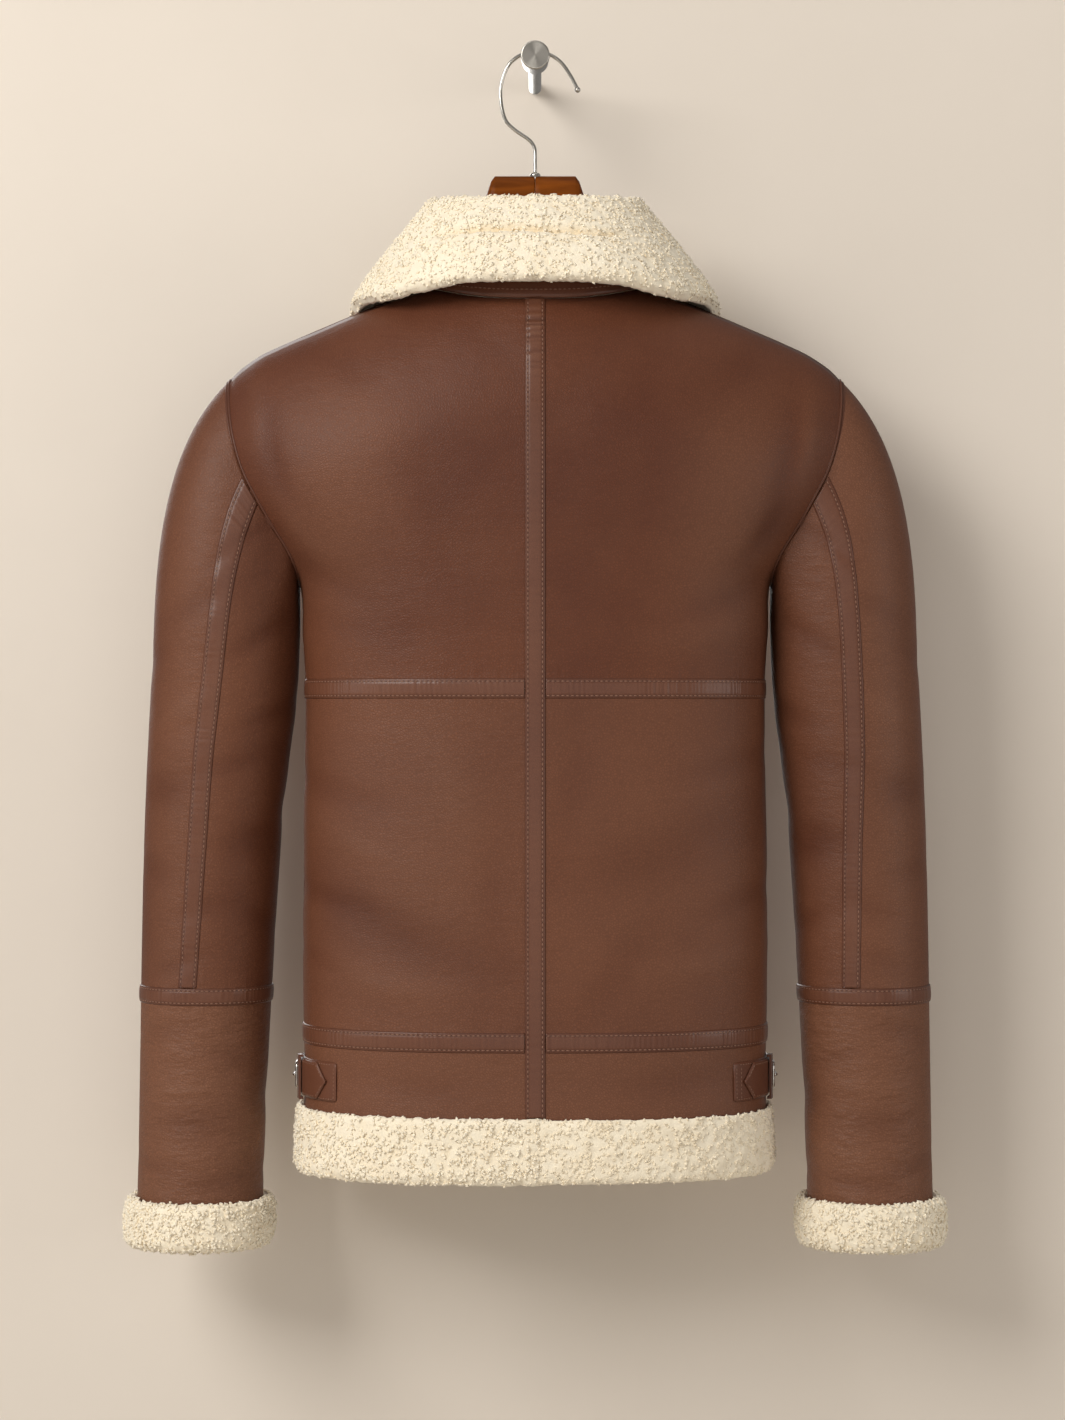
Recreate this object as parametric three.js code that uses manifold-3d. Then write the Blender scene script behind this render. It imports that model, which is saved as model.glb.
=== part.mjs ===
// A shearling jacket, seen filled out on a wooden hanger whose steel hook
// hangs on a wall peg. Millimetres, Z up, the jacket's back faces -Y.
// The origin is the centre of the peg's flat back face, on the wall plane.
import * as THREE from 'three';
import { mergeVertices } from 'three/addons/utils/BufferGeometryUtils.js';
import Module from 'manifold-3d';

const wasm = await Module();
wasm.setup();

// Driving sizes
const HANG_DEPTH = 105; // hanger plane to the wall
const SEAM = 0.4; // gap between two pieces at a seam
const LAYER = 0.4; // gap between a piece and what lies on it
const HIDE = 5; // shearling wall, leather and cropped wool
const TAPE = 1.4; // leather strips sewn over the seams
const TAPE_HALF = 7.5; // half the width of a strip
const SQUARENESS = 2.5; // exponent of the body's rounded section
const SHOULDER_ROUND = 130; // height over which the shoulders round off

const NECK_X = 88; // side of the neckline
const SHOULDER_X = 235; // shoulder point, top of the armhole
const SHOULDER_Z = -246;
const NECK_Z = -175;
const BACK_NECK_DROP = 16;
const FRONT_NECK_DROP = 87;
const ARMPIT_Z = -402;
const WAIST_SEAM_Z = -483;
const HEM_SEAM_Z = -745;
const PANEL_END_Z = -809;
const HEM_TOP_Z = -801;
const HEM_END_Z = -849;
const ZIP_HALF = 3.4;

const LEATHER = { color: 0x6e452f, roughness: 0.45, metalness: 0 };
const STRIP = { color: 0x683d2b, roughness: 0.4, metalness: 0 };
const WOOL = { color: 0xf0e4c8, roughness: 0.95, metalness: 0 };
const WOOD = { color: 0x95501a, roughness: 0.35, metalness: 0 };
const STEEL = { color: 0xb8b4ac, roughness: 0.25, metalness: 1 };

// Half width and half depths of the body at each height. Above the armpit
// the section is wider than the panel, which is cut at the armhole.
const BODY = [
  { z: -856, width: 180.5, back: 107, front: 92 },
  { z: -800, width: 177.4, back: 106, front: 92 },
  { z: -775, width: 176.9, back: 105, front: 91 },
  { z: -720, width: 178, back: 104, front: 91 },
  { z: -600, width: 178, back: 101, front: 90 },
  { z: -483, width: 176.3, back: 99, front: 89 },
  { z: -440, width: 178.6, back: 100, front: 89 },
  { z: -402, width: 181, back: 101, front: 88 },
  { z: -380, width: 195, back: 101, front: 87 },
  { z: -340, width: 227, back: 101, front: 86 },
  { z: -300, width: 248, back: 100, front: 84 },
  { z: -260, width: 259, back: 98, front: 81 },
  { z: -200, width: 266, back: 96, front: 79 },
  { z: -140, width: 268, back: 95, front: 78 },
];

// The armhole seam seen from the back, and the ridge of the shoulder
const ARMHOLE = [
  { z: -440, x: 178.6 },
  { z: -402, x: 181 },
  { z: -391, x: 182.5 },
  { z: -378, x: 188 },
  { z: -360, x: 199 },
  { z: -337, x: 212 },
  { z: -317, x: 222 },
  { z: -294, x: 229 },
  { z: -272, x: 233 },
  { z: -246, x: 235 },
  { z: -220, x: 235 },
];
const RIDGE = [
  { x: -40, z: -157 },
  { x: 0, z: -149 },
  { x: 40, z: -157 },
  { x: 88, z: -175 },
  { x: 119, z: -187 },
  { x: 158, z: -203 },
  { x: 204, z: -223 },
  { x: 225, z: -236 },
  { x: 235, z: -246 },
  { x: 250, z: -263 },
];

// The sleeve below the armpit: middle, half width and half depth
const SLEEVE = [
  { z: -380, x: 236, width: 56.5, depth: 56 },
  { z: -436, x: 237.1, width: 56.2, depth: 56 },
  { z: -491, x: 239.7, width: 56.3, depth: 54 },
  { z: -538, x: 244.0, width: 54.5, depth: 53 },
  { z: -607, x: 248.5, width: 52.5, depth: 51 },
  { z: -684, x: 251.8, width: 50.8, depth: 49.5 },
  { z: -761, x: 254.5, width: 49.3, depth: 48.5 },
  { z: -838, x: 256.8, width: 48.3, depth: 48 },
  { z: -910, x: 258.8, width: 48.2, depth: 48 },
];
const HEAD_END_Z = -436; // where the sleeve head becomes a round tube
const FOREARM_SEAM_Z = -716;
const FOREARM_END_Z = -881;
const CUFF_TOP_Z = -873;
const CUFF_END_Z = -908;

// Where each sleeve's back seam runs, in degrees from its outer edge
const SLEEVE_SEAM = {
  left: [
    { z: -330, turn: 96 },
    { z: -384, turn: 92 },
    { z: -491, turn: 84 },
    { z: -607, turn: 82 },
    { z: -720, turn: 78 },
  ],
  right: [
    { z: -330, turn: 96 },
    { z: -384, turn: 92 },
    { z: -491, turn: 90 },
    { z: -607, turn: 100 },
    { z: -720, turn: 107 },
  ],
};
const FRONT_SEAM_TURN = 262;
const STRIP_TURN = 8.2; // half the strip's width, in degrees of the sleeve

// The largest soft hollows of the leather, seen from the back
const BODY_FOLDS = [
  { x: -199, z: -322, long: 42, wide: 11, deep: 2.6, lean: 14 },
  { x: -110, z: -665, long: 70, wide: 20, deep: 1.8, lean: 62 },
  { x: 95, z: -610, long: 80, wide: 24, deep: 1.5, lean: -70 },
  { x: 190, z: -330, long: 50, wide: 13, deep: 2.0, lean: -16 },
];
const SLEEVE_FOLDS = [
  { turn: 48, z: -560, long: 26, wide: 14, deep: 1.6 },
  { turn: 135, z: -600, long: 30, wide: 15, deep: 1.8 },
  { turn: 200, z: -575, long: 34, wide: 14, deep: 2.0 },
  { turn: 300, z: -590, long: 32, wide: 14, deep: 1.8 },
  { turn: 85, z: -812, long: 32, wide: 12, deep: 1.3 },
  { turn: 170, z: -795, long: 30, wide: 12, deep: 1.4 },
];

// The collar at each turn from the middle of the back to the front: the
// middle of the rolled fold and the middle of the fall's outer edge
const COLLAR = [
  { turn: 0, foldX: 0, foldY: -57, foldZ: -121, edgeX: 0, edgeY: -92, edgeZ: -176 },
  { turn: 30, foldX: 40, foldY: -49, foldZ: -120, edgeX: 54, edgeY: -87, edgeZ: -177 },
  { turn: 60, foldX: 68, foldY: -27, foldZ: -118, edgeX: 103, edgeY: -58, edgeZ: -184 },
  { turn: 90, foldX: 79, foldY: 4, foldZ: -118, edgeX: 136, edgeY: 1, edgeZ: -187 },
  { turn: 120, foldX: 71, foldY: 35, foldZ: -146, edgeX: 126, edgeY: 60, edgeZ: -223 },
  { turn: 150, foldX: 42, foldY: 64, foldZ: -192, edgeX: 84, edgeY: 94, edgeZ: -272 },
  { turn: 172, foldX: 14, foldY: 75, foldZ: -224, edgeX: 40, edgeY: 97, edgeZ: -300 },
];
const FUR_ROLL = 8; // wool thickness over the fold

// Value of a table's column at a place, on a smooth curve through its rows
function along(rows, key, column, at) {
  const sign = rows[1][key] > rows[0][key] ? 1 : -1;
  let i = 0;
  while (i < rows.length - 2 && sign * at > sign * rows[i + 1][key]) i += 1;
  const slope = (j) => {
    const a = rows[Math.max(j - 1, 0)];
    const b = rows[Math.min(j + 1, rows.length - 1)];
    return (b[column] - a[column]) / (b[key] - a[key]);
  };
  const step = rows[i + 1][key] - rows[i][key];
  const t = Math.min(Math.max((at - rows[i][key]) / step, 0), 1);
  const t2 = t * t;
  const t3 = t2 * t;
  return (2 * t3 - 3 * t2 + 1) * rows[i][column]
    + (t3 - 2 * t2 + t) * step * slope(i)
    + (3 * t2 - 2 * t3) * rows[i + 1][column]
    + (t3 - t2) * step * slope(i + 1);
}

const vector = (x, y, z) => new THREE.Vector3(x, y, z);
const clamp = (value, low, high) => Math.min(Math.max(value, low), high);
const radians = (degrees) => degrees * Math.PI / 180;
const steps = (from, to, count) => (
  Array.from({ length: count + 1 }, (_, i) => from + (to - from) * i / count)
);

// How far the side and the shoulder ridge draw a body section in
function sideFactor(x, z) {
  const share = clamp(Math.abs(x) / along(BODY, 'z', 'width', z), 0, 1);
  return (1 - share ** SQUARENESS) ** (1 / SQUARENESS);
}

function ridgeFactor(x, z) {
  const drop = (along(RIDGE, 'x', 'z', Math.abs(x)) - z) / SHOULDER_ROUND;
  return Math.sqrt(1 - (1 - clamp(drop, 0, 1)) ** 2);
}

// Depth of the body's outer face under a point seen from behind or before
function bodyY(face, x, z) {
  const reach = along(BODY, 'z', face, z) * sideFactor(x, z) * ridgeFactor(x, z);
  return (face === 'back' ? -1 : 1) * Math.max(reach, SEAM / 2);
}

// Outward direction of the body's face, from the slope of its equation
function bodyNormal(point) {
  const face = point.y <= 0 ? 'back' : 'front';
  const nearRidge = ridgeFactor(point.x, point.z) < sideFactor(point.x, point.z);
  const equation = (x, y, z) => {
    const part = Math.abs(y) / along(BODY, 'z', face, z);
    if (nearRidge) {
      const fall = 1 - (along(RIDGE, 'x', 'z', Math.abs(x)) - z) / SHOULDER_ROUND;
      return (part / Math.max(sideFactor(x, z), 1e-3)) ** 2 + Math.max(fall, 0) ** 2;
    }
    const share = Math.abs(x) / along(BODY, 'z', 'width', z);
    return (part / Math.max(ridgeFactor(x, z), 1e-3)) ** SQUARENESS + share ** SQUARENESS;
  };
  const e = 0.02;
  const { x, y, z } = point;
  return vector(
    equation(x + e, y, z) - equation(x - e, y, z),
    equation(x, y + e, z) - equation(x, y - e, z),
    equation(x, y, z + e) - equation(x, y, z - e),
  ).normalize();
}

// Depth of the soft hollows on the body, long ovals with no edge
function bodyFold(x, z) {
  return BODY_FOLDS.reduce((sum, fold) => {
    const turn = radians(fold.lean);
    const across = (x - fold.x) * Math.cos(turn) + (z - fold.z) * Math.sin(turn);
    const up = (z - fold.z) * Math.cos(turn) - (x - fold.x) * Math.sin(turn);
    return sum - fold.deep * Math.exp(-((across / fold.wide) ** 2) - (up / fold.long) ** 2);
  }, 0);
}

// A point with its outward direction, moved out by lift along it
function moved(site, lift) {
  return site.point.clone().addScaledVector(site.normal, lift);
}

function bodySite(face, x, z) {
  const point = vector(x, bodyY(face, x, z), z);
  const normal = bodyNormal(point);
  return { point: point.addScaledVector(normal, bodyFold(x, z)), normal };
}

// Upper edge of a body panel: the neckline, then the shoulder ridge
function topEdge(face, x) {
  if (x >= NECK_X) return along(RIDGE, 'x', 'z', x);
  const share = x / NECK_X;
  if (face === 'back') return NECK_Z - BACK_NECK_DROP * (1 - share ** SQUARENESS);
  return NECK_Z - FRONT_NECK_DROP * Math.sqrt(1 - share ** 2);
}

const spread = (share) => Math.sin(share * Math.PI / 2);
const neckShare = Math.asin(NECK_X / SHOULDER_X) * 2 / Math.PI;
const OUTER_SHARES = [neckShare, 0.34, 0.46, 0.58, 0.69, 0.79, 0.88, 0.95, 1];
const NECK_SHARES = [0, 0.05, 0.1, 0.15, 0.2, 0.228];
const UPPER_SHARES = [...NECK_SHARES, ...OUTER_SHARES];
const LOWER_SHARES = [0, 0.1, ...OUTER_SHARES];
const HEAD_ROWS = [-440, -402, -378, -348, -312, -284, -266, -255, -248.6, SHOULDER_Z];

// Site on a panel that reaches up to the neck and shoulder. The row is the
// height that it has at the armhole edge, and middle is the least x.
function upperSite(face, side, share, row, low, middle) {
  const part = (row - low) / (SHOULDER_Z - low);
  const top = topEdge(face, SHOULDER_X * spread(share));
  const z = low + (top - low) * part;
  const edge = along(ARMHOLE, 'z', 'x', row) - (row > ARMPIT_Z ? SEAM / 2 : 0);
  const width = row < ARMPIT_Z ? along(BODY, 'z', 'width', row) : edge;
  return bodySite(face, side * Math.max(width * spread(share), middle), z);
}

function lowerSite(face, side, share, z, middle) {
  const width = along(BODY, 'z', 'width', z);
  return bodySite(face, side * Math.max(width * spread(share), middle), z);
}

// A closed solid between two grids of points, outer and inner, each a list
// of rows. A round grid closes on itself from its last column to its first.
function between(outer, inner, round = false) {
  const rows = outer.length;
  const columns = outer[0].length;
  const position = [...outer.flat(), ...inner.flat()].flatMap((p) => [p.x, p.y, p.z]);
  const index = [];
  const id = (layer, i, j) => layer * rows * columns + i * columns + (j % columns);
  const quad = (a, b, c, d) => index.push(a, b, c, a, c, d);
  const last = round ? columns : columns - 1;
  for (let i = 0; i < rows - 1; i += 1) {
    for (let j = 0; j < last; j += 1) {
      quad(id(0, i, j), id(0, i, j + 1), id(0, i + 1, j + 1), id(0, i + 1, j));
      quad(id(1, i, j), id(1, i + 1, j), id(1, i + 1, j + 1), id(1, i, j + 1));
    }
  }
  for (let j = 0; j < last; j += 1) {
    quad(id(1, 0, j), id(1, 0, j + 1), id(0, 0, j + 1), id(0, 0, j));
    quad(id(0, rows - 1, j), id(0, rows - 1, j + 1), id(1, rows - 1, j + 1), id(1, rows - 1, j));
  }
  if (!round) {
    for (let i = 0; i < rows - 1; i += 1) {
      quad(id(0, i, 0), id(0, i + 1, 0), id(1, i + 1, 0), id(1, i, 0));
      const j = columns - 1;
      quad(id(1, i, j), id(1, i + 1, j), id(0, i + 1, j), id(0, i, j));
    }
  }
  return facingOut(position, index);
}

// Indexed triangles as a geometry, turned round if they enclose a
// negative volume
function facingOut(position, index) {
  let volume = 0;
  const corner = (k) => vector(...position.slice(3 * k, 3 * k + 3));
  for (let i = 0; i < index.length; i += 3) {
    const [a, b, c] = [corner(index[i]), corner(index[i + 1]), corner(index[i + 2])];
    volume += a.dot(b.cross(c));
  }
  const geometry = new THREE.BufferGeometry();
  geometry.setAttribute('position', new THREE.Float32BufferAttribute(position, 3));
  geometry.setIndex(volume < 0 ? index.slice().reverse() : index);
  return geometry;
}

// A wall under a grid of sites, from a lift above them to a lift below
function wall(sites, high, low, round = false) {
  const outer = sites.map((row) => row.map((site) => moved(site, high)));
  const inner = sites.map((row) => row.map((site) => moved(site, low)));
  return between(outer, inner, round);
}

// A closed outline carried through stations: each station is a list of the
// same number of points. A ring of stations closes on itself.
function carried(stations, ring) {
  const count = stations[0].length;
  const position = stations.flat().flatMap((p) => [p.x, p.y, p.z]);
  const index = [];
  const id = (i, j) => (i % stations.length) * count + (j % count);
  const last = ring ? stations.length : stations.length - 1;
  for (let i = 0; i < last; i += 1) {
    for (let j = 0; j < count; j += 1) {
      index.push(id(i, j), id(i, j + 1), id(i + 1, j + 1));
      index.push(id(i, j), id(i + 1, j + 1), id(i + 1, j));
    }
  }
  if (!ring) {
    const end = stations.length - 1;
    endCap(stations[0]).forEach(([a, b, c]) => index.push(id(0, a), id(0, c), id(0, b)));
    endCap(stations[end]).forEach(([a, b, c]) => index.push(id(end, a), id(end, b), id(end, c)));
  }
  return facingOut(position, index);
}

// Triangles of a flat closed outline in space
function endCap(points) {
  const normal = vector(0, 0, 0);
  points.forEach((p, i) => normal.add(p.clone().cross(points[(i + 1) % points.length])));
  normal.normalize();
  const right = points[1].clone().sub(points[0]).normalize();
  const up = normal.clone().cross(right);
  const flat = points.map((p) => new THREE.Vector2(p.dot(right), p.dot(up)));
  return THREE.ShapeUtils.triangulateShape(flat, []);
}

const model = new THREE.Group();
const jacket = new THREE.Group();
jacket.position.y = -HANG_DEPTH;
model.add(jacket);

function add(name, geometry, look, group = jacket) {
  const mesh = new THREE.Mesh(geometry, new THREE.MeshStandardMaterial(look));
  mesh.name = name;
  group.add(mesh);
  return mesh;
}

const SIDES = [{ word: 'left', sign: -1 }, { word: 'right', sign: 1 }];

// Back panels, three to a side, and the fronts, one to a side
const WAIST_ROWS = [WAIST_SEAM_Z + SEAM / 2, WAIST_SEAM_Z + 9];
const LOWER_ROWS = [HEM_SEAM_Z + SEAM / 2, HEM_SEAM_Z + 9, -680, -610, -545,
  WAIST_SEAM_Z - 9, WAIST_SEAM_Z - SEAM / 2];
const HEM_ROWS = [PANEL_END_Z, -778, HEM_SEAM_Z - 9, HEM_SEAM_Z - SEAM / 2];
const FRONT_ROWS = [PANEL_END_Z, -778, -745, -680, -610, -545, -483, ...HEAD_ROWS];

function backUpperSites(sign) {
  return [...WAIST_ROWS, ...HEAD_ROWS].map((row) => UPPER_SHARES.map((share) => (
    upperSite('back', sign, share, row, WAIST_ROWS[0], SEAM / 2))));
}

function makePanels({ word, sign }) {
  const lower = (rows) => rows.map((z) => LOWER_SHARES.map((share) => (
    lowerSite('back', sign, share, z, SEAM / 2))));
  const front = FRONT_ROWS.map((row) => UPPER_SHARES.map((share) => (
    upperSite('front', sign, share, row, PANEL_END_Z, ZIP_HALF + SEAM))));
  add(`back_upper_${word}`, wall(backUpperSites(sign), 0, -HIDE), LEATHER);
  add(`back_lower_${word}`, wall(lower(LOWER_ROWS), 0, -HIDE), LEATHER);
  add(`back_hem_${word}`, wall(lower(HEM_ROWS), 0, -HIDE), LEATHER);
  add(`front_${word}`, wall(front, 0, -HIDE), LEATHER);
}

// Strips over the body's seams: waist and hem on each side of the back,
// then one down the middle over all
function makeBodyStrips() {
  const start = TAPE_HALF + SEAM;
  const lines = [['waist_strip', WAIST_SEAM_Z], ['hem_strip', HEM_SEAM_Z]];
  SIDES.forEach(({ word, sign }) => lines.forEach(([name, z]) => {
    const rows = [z - TAPE_HALF, z, z + TAPE_HALF];
    const sites = rows.map((row) => UPPER_SHARES.map((share) => (
      lowerSite('back', sign, share, row, start))));
    add(`${name}_${word}`, wall(sites, LAYER + TAPE, LAYER), STRIP);
  }));
  const upper = backUpperSites(1).map((row) => row[0].point.z);
  const heights = [...HEM_ROWS, ...LOWER_ROWS, ...upper].filter((z) => z > PANEL_END_Z + 9);
  const lowest = HEM_TOP_Z + 1;
  const sites = [lowest, ...heights].map((z) => [-1, 0, 1].map((turn) => (
    bodySite('back', turn * TAPE_HALF, z))));
  add('centre_back_strip', wall(sites, LAYER + TAPE, LAYER), STRIP);
}

// Sleeves. A turn goes from the outer edge round the back to the armpit
// and the front. The head runs from the armhole to the round tube.
const HEAD_SHARES = [0, 0.07, 0.16, 0.28, 0.42, 0.56, 0.7, 0.85, 1];

function armholePoint(turn) {
  const z = ARMPIT_Z + (SHOULDER_Z - ARMPIT_Z) * (1 + Math.cos(turn)) / 2;
  const x = along(ARMHOLE, 'z', 'x', z);
  const face = Math.sin(turn) >= 0 ? 'back' : 'front';
  return vector(x + SEAM, bodyY(face, x, z), z);
}

function tubePoint(turn, z) {
  const x = along(SLEEVE, 'z', 'x', z) + along(SLEEVE, 'z', 'width', z) * Math.cos(turn);
  return vector(x, -along(SLEEVE, 'z', 'depth', z) * Math.sin(turn), z);
}

function headPoint(turn, share) {
  const start = armholePoint(turn);
  const end = tubePoint(turn, HEAD_END_Z);
  const reach = start.distanceTo(end);
  const out = (1 + Math.cos(turn)) / 2;
  const back = Math.sin(turn);
  const leave = vector(0.72 * out, -0.24 * back * out, -0.69 - 0.31 * (1 - out));
  const arrive = tubePoint(turn, HEAD_END_Z - 1).sub(end).normalize();
  const t2 = share * share;
  const t3 = t2 * share;
  return start.multiplyScalar(2 * t3 - 3 * t2 + 1)
    .addScaledVector(leave, reach * (t3 - 2 * t2 + share))
    .addScaledVector(end, 3 * t2 - 2 * t3)
    .addScaledVector(arrive, reach * (t3 - t2));
}

function sleeveFold(turn, z) {
  return SLEEVE_FOLDS.reduce((sum, fold) => (
    sum - fold.deep * Math.exp(-(((turn - fold.turn) / fold.long) ** 2)
      - ((z - fold.z) / fold.wide) ** 2)), 0);
}

// A row is { share } on the sleeve head or { z } below it
function sleeveSite(sign, degrees, row) {
  const place = (turn, step) => (row.z === undefined
    ? headPoint(turn, row.share + step) : tubePoint(turn, row.z - step * 100));
  const turn = radians(degrees);
  const e = 1e-3;
  const point = place(turn, 0);
  const around = place(turn + e, e).sub(place(turn - e, e));
  const down = place(turn, 2 * e).sub(point);
  const normal = around.cross(down).normalize();
  if (row.z !== undefined) point.addScaledVector(normal, sleeveFold(degrees, row.z));
  point.x *= sign;
  normal.x *= sign;
  return { point, normal };
}

const SLEEVE_ROWS = [
  ...HEAD_SHARES.map((share) => ({ share })),
  ...[-470, -510, -548, -575, -600, -640, -690, FOREARM_SEAM_Z + SEAM / 2].map((z) => ({ z })),
];

function seamTurn(word, row) {
  const z = row.z === undefined ? -330 + (HEAD_END_Z + 330) * row.share : row.z;
  return along(SLEEVE_SEAM[word], 'z', 'turn', z);
}

function makeSleeve({ word, sign }) {
  const gap = 0.22; // half a seam, in degrees
  const shares = steps(0, 1, 8);
  const panel = (from, to) => SLEEVE_ROWS.map((row) => {
    const first = from(row);
    const span = to(row) - first;
    return shares.map((share) => sleeveSite(sign, first + span * share, row));
  });
  const back = (row) => seamTurn(word, row);
  const upper = panel((row) => FRONT_SEAM_TURN - 360 + gap, (row) => back(row) - gap);
  const under = panel((row) => back(row) + gap, (row) => FRONT_SEAM_TURN - gap);
  add(`sleeve_upper_${word}`, wall(upper, 0, -HIDE), LEATHER);
  add(`sleeve_under_${word}`, wall(under, 0, -HIDE), LEATHER);

  const turns = steps(0, 342, 19);
  const tube = [FOREARM_SEAM_Z - SEAM / 2, -750, -785, -800, -822, -850, FOREARM_END_Z];
  const forearm = tube.map((z) => turns.map((turn) => sleeveSite(sign, turn, { z })));
  add(`forearm_${word}`, wall(forearm, 0, -HIDE, true), LEATHER);

  const ring = [FOREARM_SEAM_Z + 6.5, FOREARM_SEAM_Z - 6.5];
  const band = ring.map((z) => turns.map((turn) => sleeveSite(sign, turn, { z })));
  add(`forearm_strip_${word}`, wall(band, 1.1 + TAPE, 1.1, true), STRIP);

  const rows = SLEEVE_ROWS.slice(1, -1);
  rows.push({ z: FOREARM_SEAM_Z + 7.2 });
  const strip = rows.map((row) => [-1, 0, 1].map((turn) => (
    sleeveSite(sign, back(row) + turn * STRIP_TURN, row))));
  add(`sleeve_strip_${word}`, wall(strip, 0.7 + TAPE, 0.7), STRIP);

  const outline = [
    { lift: 1.2, z: CUFF_TOP_Z - 2 }, { lift: 1.2, z: FOREARM_END_Z - SEAM },
    { lift: -7, z: FOREARM_END_Z - SEAM }, { lift: -7, z: CUFF_END_Z + 5 },
    { lift: -3, z: CUFF_END_Z }, { lift: 4, z: CUFF_END_Z }, { lift: 8, z: CUFF_END_Z + 5 },
    { lift: 9, z: CUFF_END_Z + 16 }, { lift: 8, z: CUFF_TOP_Z - 5 }, { lift: 4, z: CUFF_TOP_Z },
  ];
  const cuff = turns.map((turn) => outline.map(({ lift, z }) => (
    moved(sleeveSite(sign, turn, { z }), lift))));
  add(`cuff_fur_${word}`, carried(cuff, true), WOOL);
}

// Wool band round the hem, from one side of the zip to the other
function makeHem() {
  const outline = [
    { lift: 0.6, z: HEM_TOP_Z - 1 }, { lift: 0.6, z: PANEL_END_Z - SEAM },
    { lift: -8, z: PANEL_END_Z - SEAM }, { lift: -8, z: HEM_END_Z + 5 },
    { lift: -4, z: HEM_END_Z }, { lift: 1, z: HEM_END_Z }, { lift: 4, z: HEM_END_Z + 6 },
    { lift: 4.6, z: HEM_END_Z + 22 }, { lift: 4.2, z: HEM_TOP_Z - 4 }, { lift: 2, z: HEM_TOP_Z },
  ];
  const quarter = (face, sign) => LOWER_SHARES.map((share) => ({ face, sign, share }));
  const route = [
    ...quarter('front', -1), ...quarter('back', -1).reverse().slice(1),
    ...quarter('back', 1).slice(1), ...quarter('front', 1).reverse().slice(1),
  ];
  const stations = route.map(({ face, sign, share }) => outline.map(({ lift, z }) => {
    const middle = face === 'front' ? ZIP_HALF + SEAM : 0;
    const site = lowerSite(face, sign, share, z, middle);
    if (share === 1) site.point.y = 0;
    return moved(site, lift);
  }));
  add('hem_fur', carried(stations, false), WOOL);
}

// Neck seam at a turn from the middle of the back, on the straight stretches
// between the corners of the panels' upper edges
function neckPoint(degrees) {
  const face = degrees <= 90 ? 'back' : 'front';
  const corners = [...NECK_SHARES, neckShare].map((share) => {
    const x = SHOULDER_X * spread(share);
    return bodySite(face, x, topEdge(face, Math.min(x, NECK_X - 1e-6))).point;
  });
  const x = NECK_X * Math.sin(radians(degrees));
  const next = Math.max(corners.findIndex((corner) => corner.x >= x - 1e-6), 1);
  const [a, b] = [corners[next - 1], corners[next]];
  return a.clone().lerp(b, (x - a.x) / (b.x - a.x));
}

// Places of the collar at a turn: the neck seam, the fold and the edge, with
// the outward directions of the stand and of the fall
function collarFrame(degrees) {
  const turn = Math.abs(degrees);
  const at = (column) => along(COLLAR, 'turn', column, turn);
  const seam = neckPoint(turn);
  const fold = vector(at('foldX'), at('foldY'), at('foldZ'));
  const edge = vector(at('edgeX'), at('edgeY'), at('edgeZ'));
  const away = vector(Math.sin(radians(turn)), -Math.cos(radians(turn)), 0);
  const rise = fold.clone().sub(seam).normalize();
  const fall = edge.clone().sub(fold).normalize();
  const standOut = away.clone().addScaledVector(rise, -away.dot(rise)).normalize();
  const top = away.clone().add(vector(0, 0, 1));
  const fallOut = top.addScaledVector(fall, -top.dot(fall)).normalize();
  const parts = { seam, fold, edge, rise, fall, standOut, fallOut };
  if (degrees < 0) Object.values(parts).forEach((v) => { v.x *= -1; });
  return parts;
}

function makeCollar() {
  const turns = steps(-172, 172, 40);
  const from = (start, ...moves) => moves.reduce(
    (point, [direction, amount]) => point.addScaledVector(direction, amount), start.clone());
  const up = vector(0, 0, 1);
  const fur = turns.map((turn) => {
    const c = collarFrame(turn);
    const middle = c.fold.clone().lerp(c.edge, 0.6);
    return [
      from(c.seam, [c.rise, 3], [c.standOut, -2.4]),
      from(c.seam, [c.rise, 4], [c.standOut, -11]),
      from(c.seam.clone().lerp(c.fold, 0.5), [c.standOut, -11.5]),
      from(c.fold, [c.standOut, -FUR_ROLL - 1.5]),
      from(c.fold, [c.standOut, -FUR_ROLL * 0.6], [up, FUR_ROLL * 0.8]),
      from(c.fold, [up, FUR_ROLL * 0.9], [c.fallOut, FUR_ROLL * 0.3]),
      from(c.fold, [c.fallOut, FUR_ROLL], [c.fall, 8]),
      from(middle, [c.fallOut, FUR_ROLL]),
      from(c.edge, [c.fallOut, 5.5], [c.fall, -1]),
      from(c.edge, [c.fall, 3]),
      from(c.edge, [c.fallOut, -4.5], [c.fall, -2]),
      from(c.fold, [c.fall, 17], [c.fallOut, -4]),
      from(c.fold, [c.rise, -15], [c.standOut, -2.4]),
    ];
  });
  add('collar_fur', carried(fur, false), WOOL);
  const stand = [1, 0].map((share) => turns.map((turn) => {
    const c = collarFrame(turn);
    const low = from(c.seam, [c.rise, 1]);
    const high = from(c.fold, [c.rise, -32]);
    return { point: low.lerp(high, share), normal: c.standOut };
  }));
  add('collar_stand', wall(stand, 0, -1.8), STRIP);
}

makeBodyStrips();
SIDES.forEach((side) => {
  makePanels(side);
  makeSleeve(side);
});
makeHem();
makeCollar();

// Side adjusters. Arc is the way round the body from the side seam, towards
// the back if it is positive.
const ADJUST_Z = -778;

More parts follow.
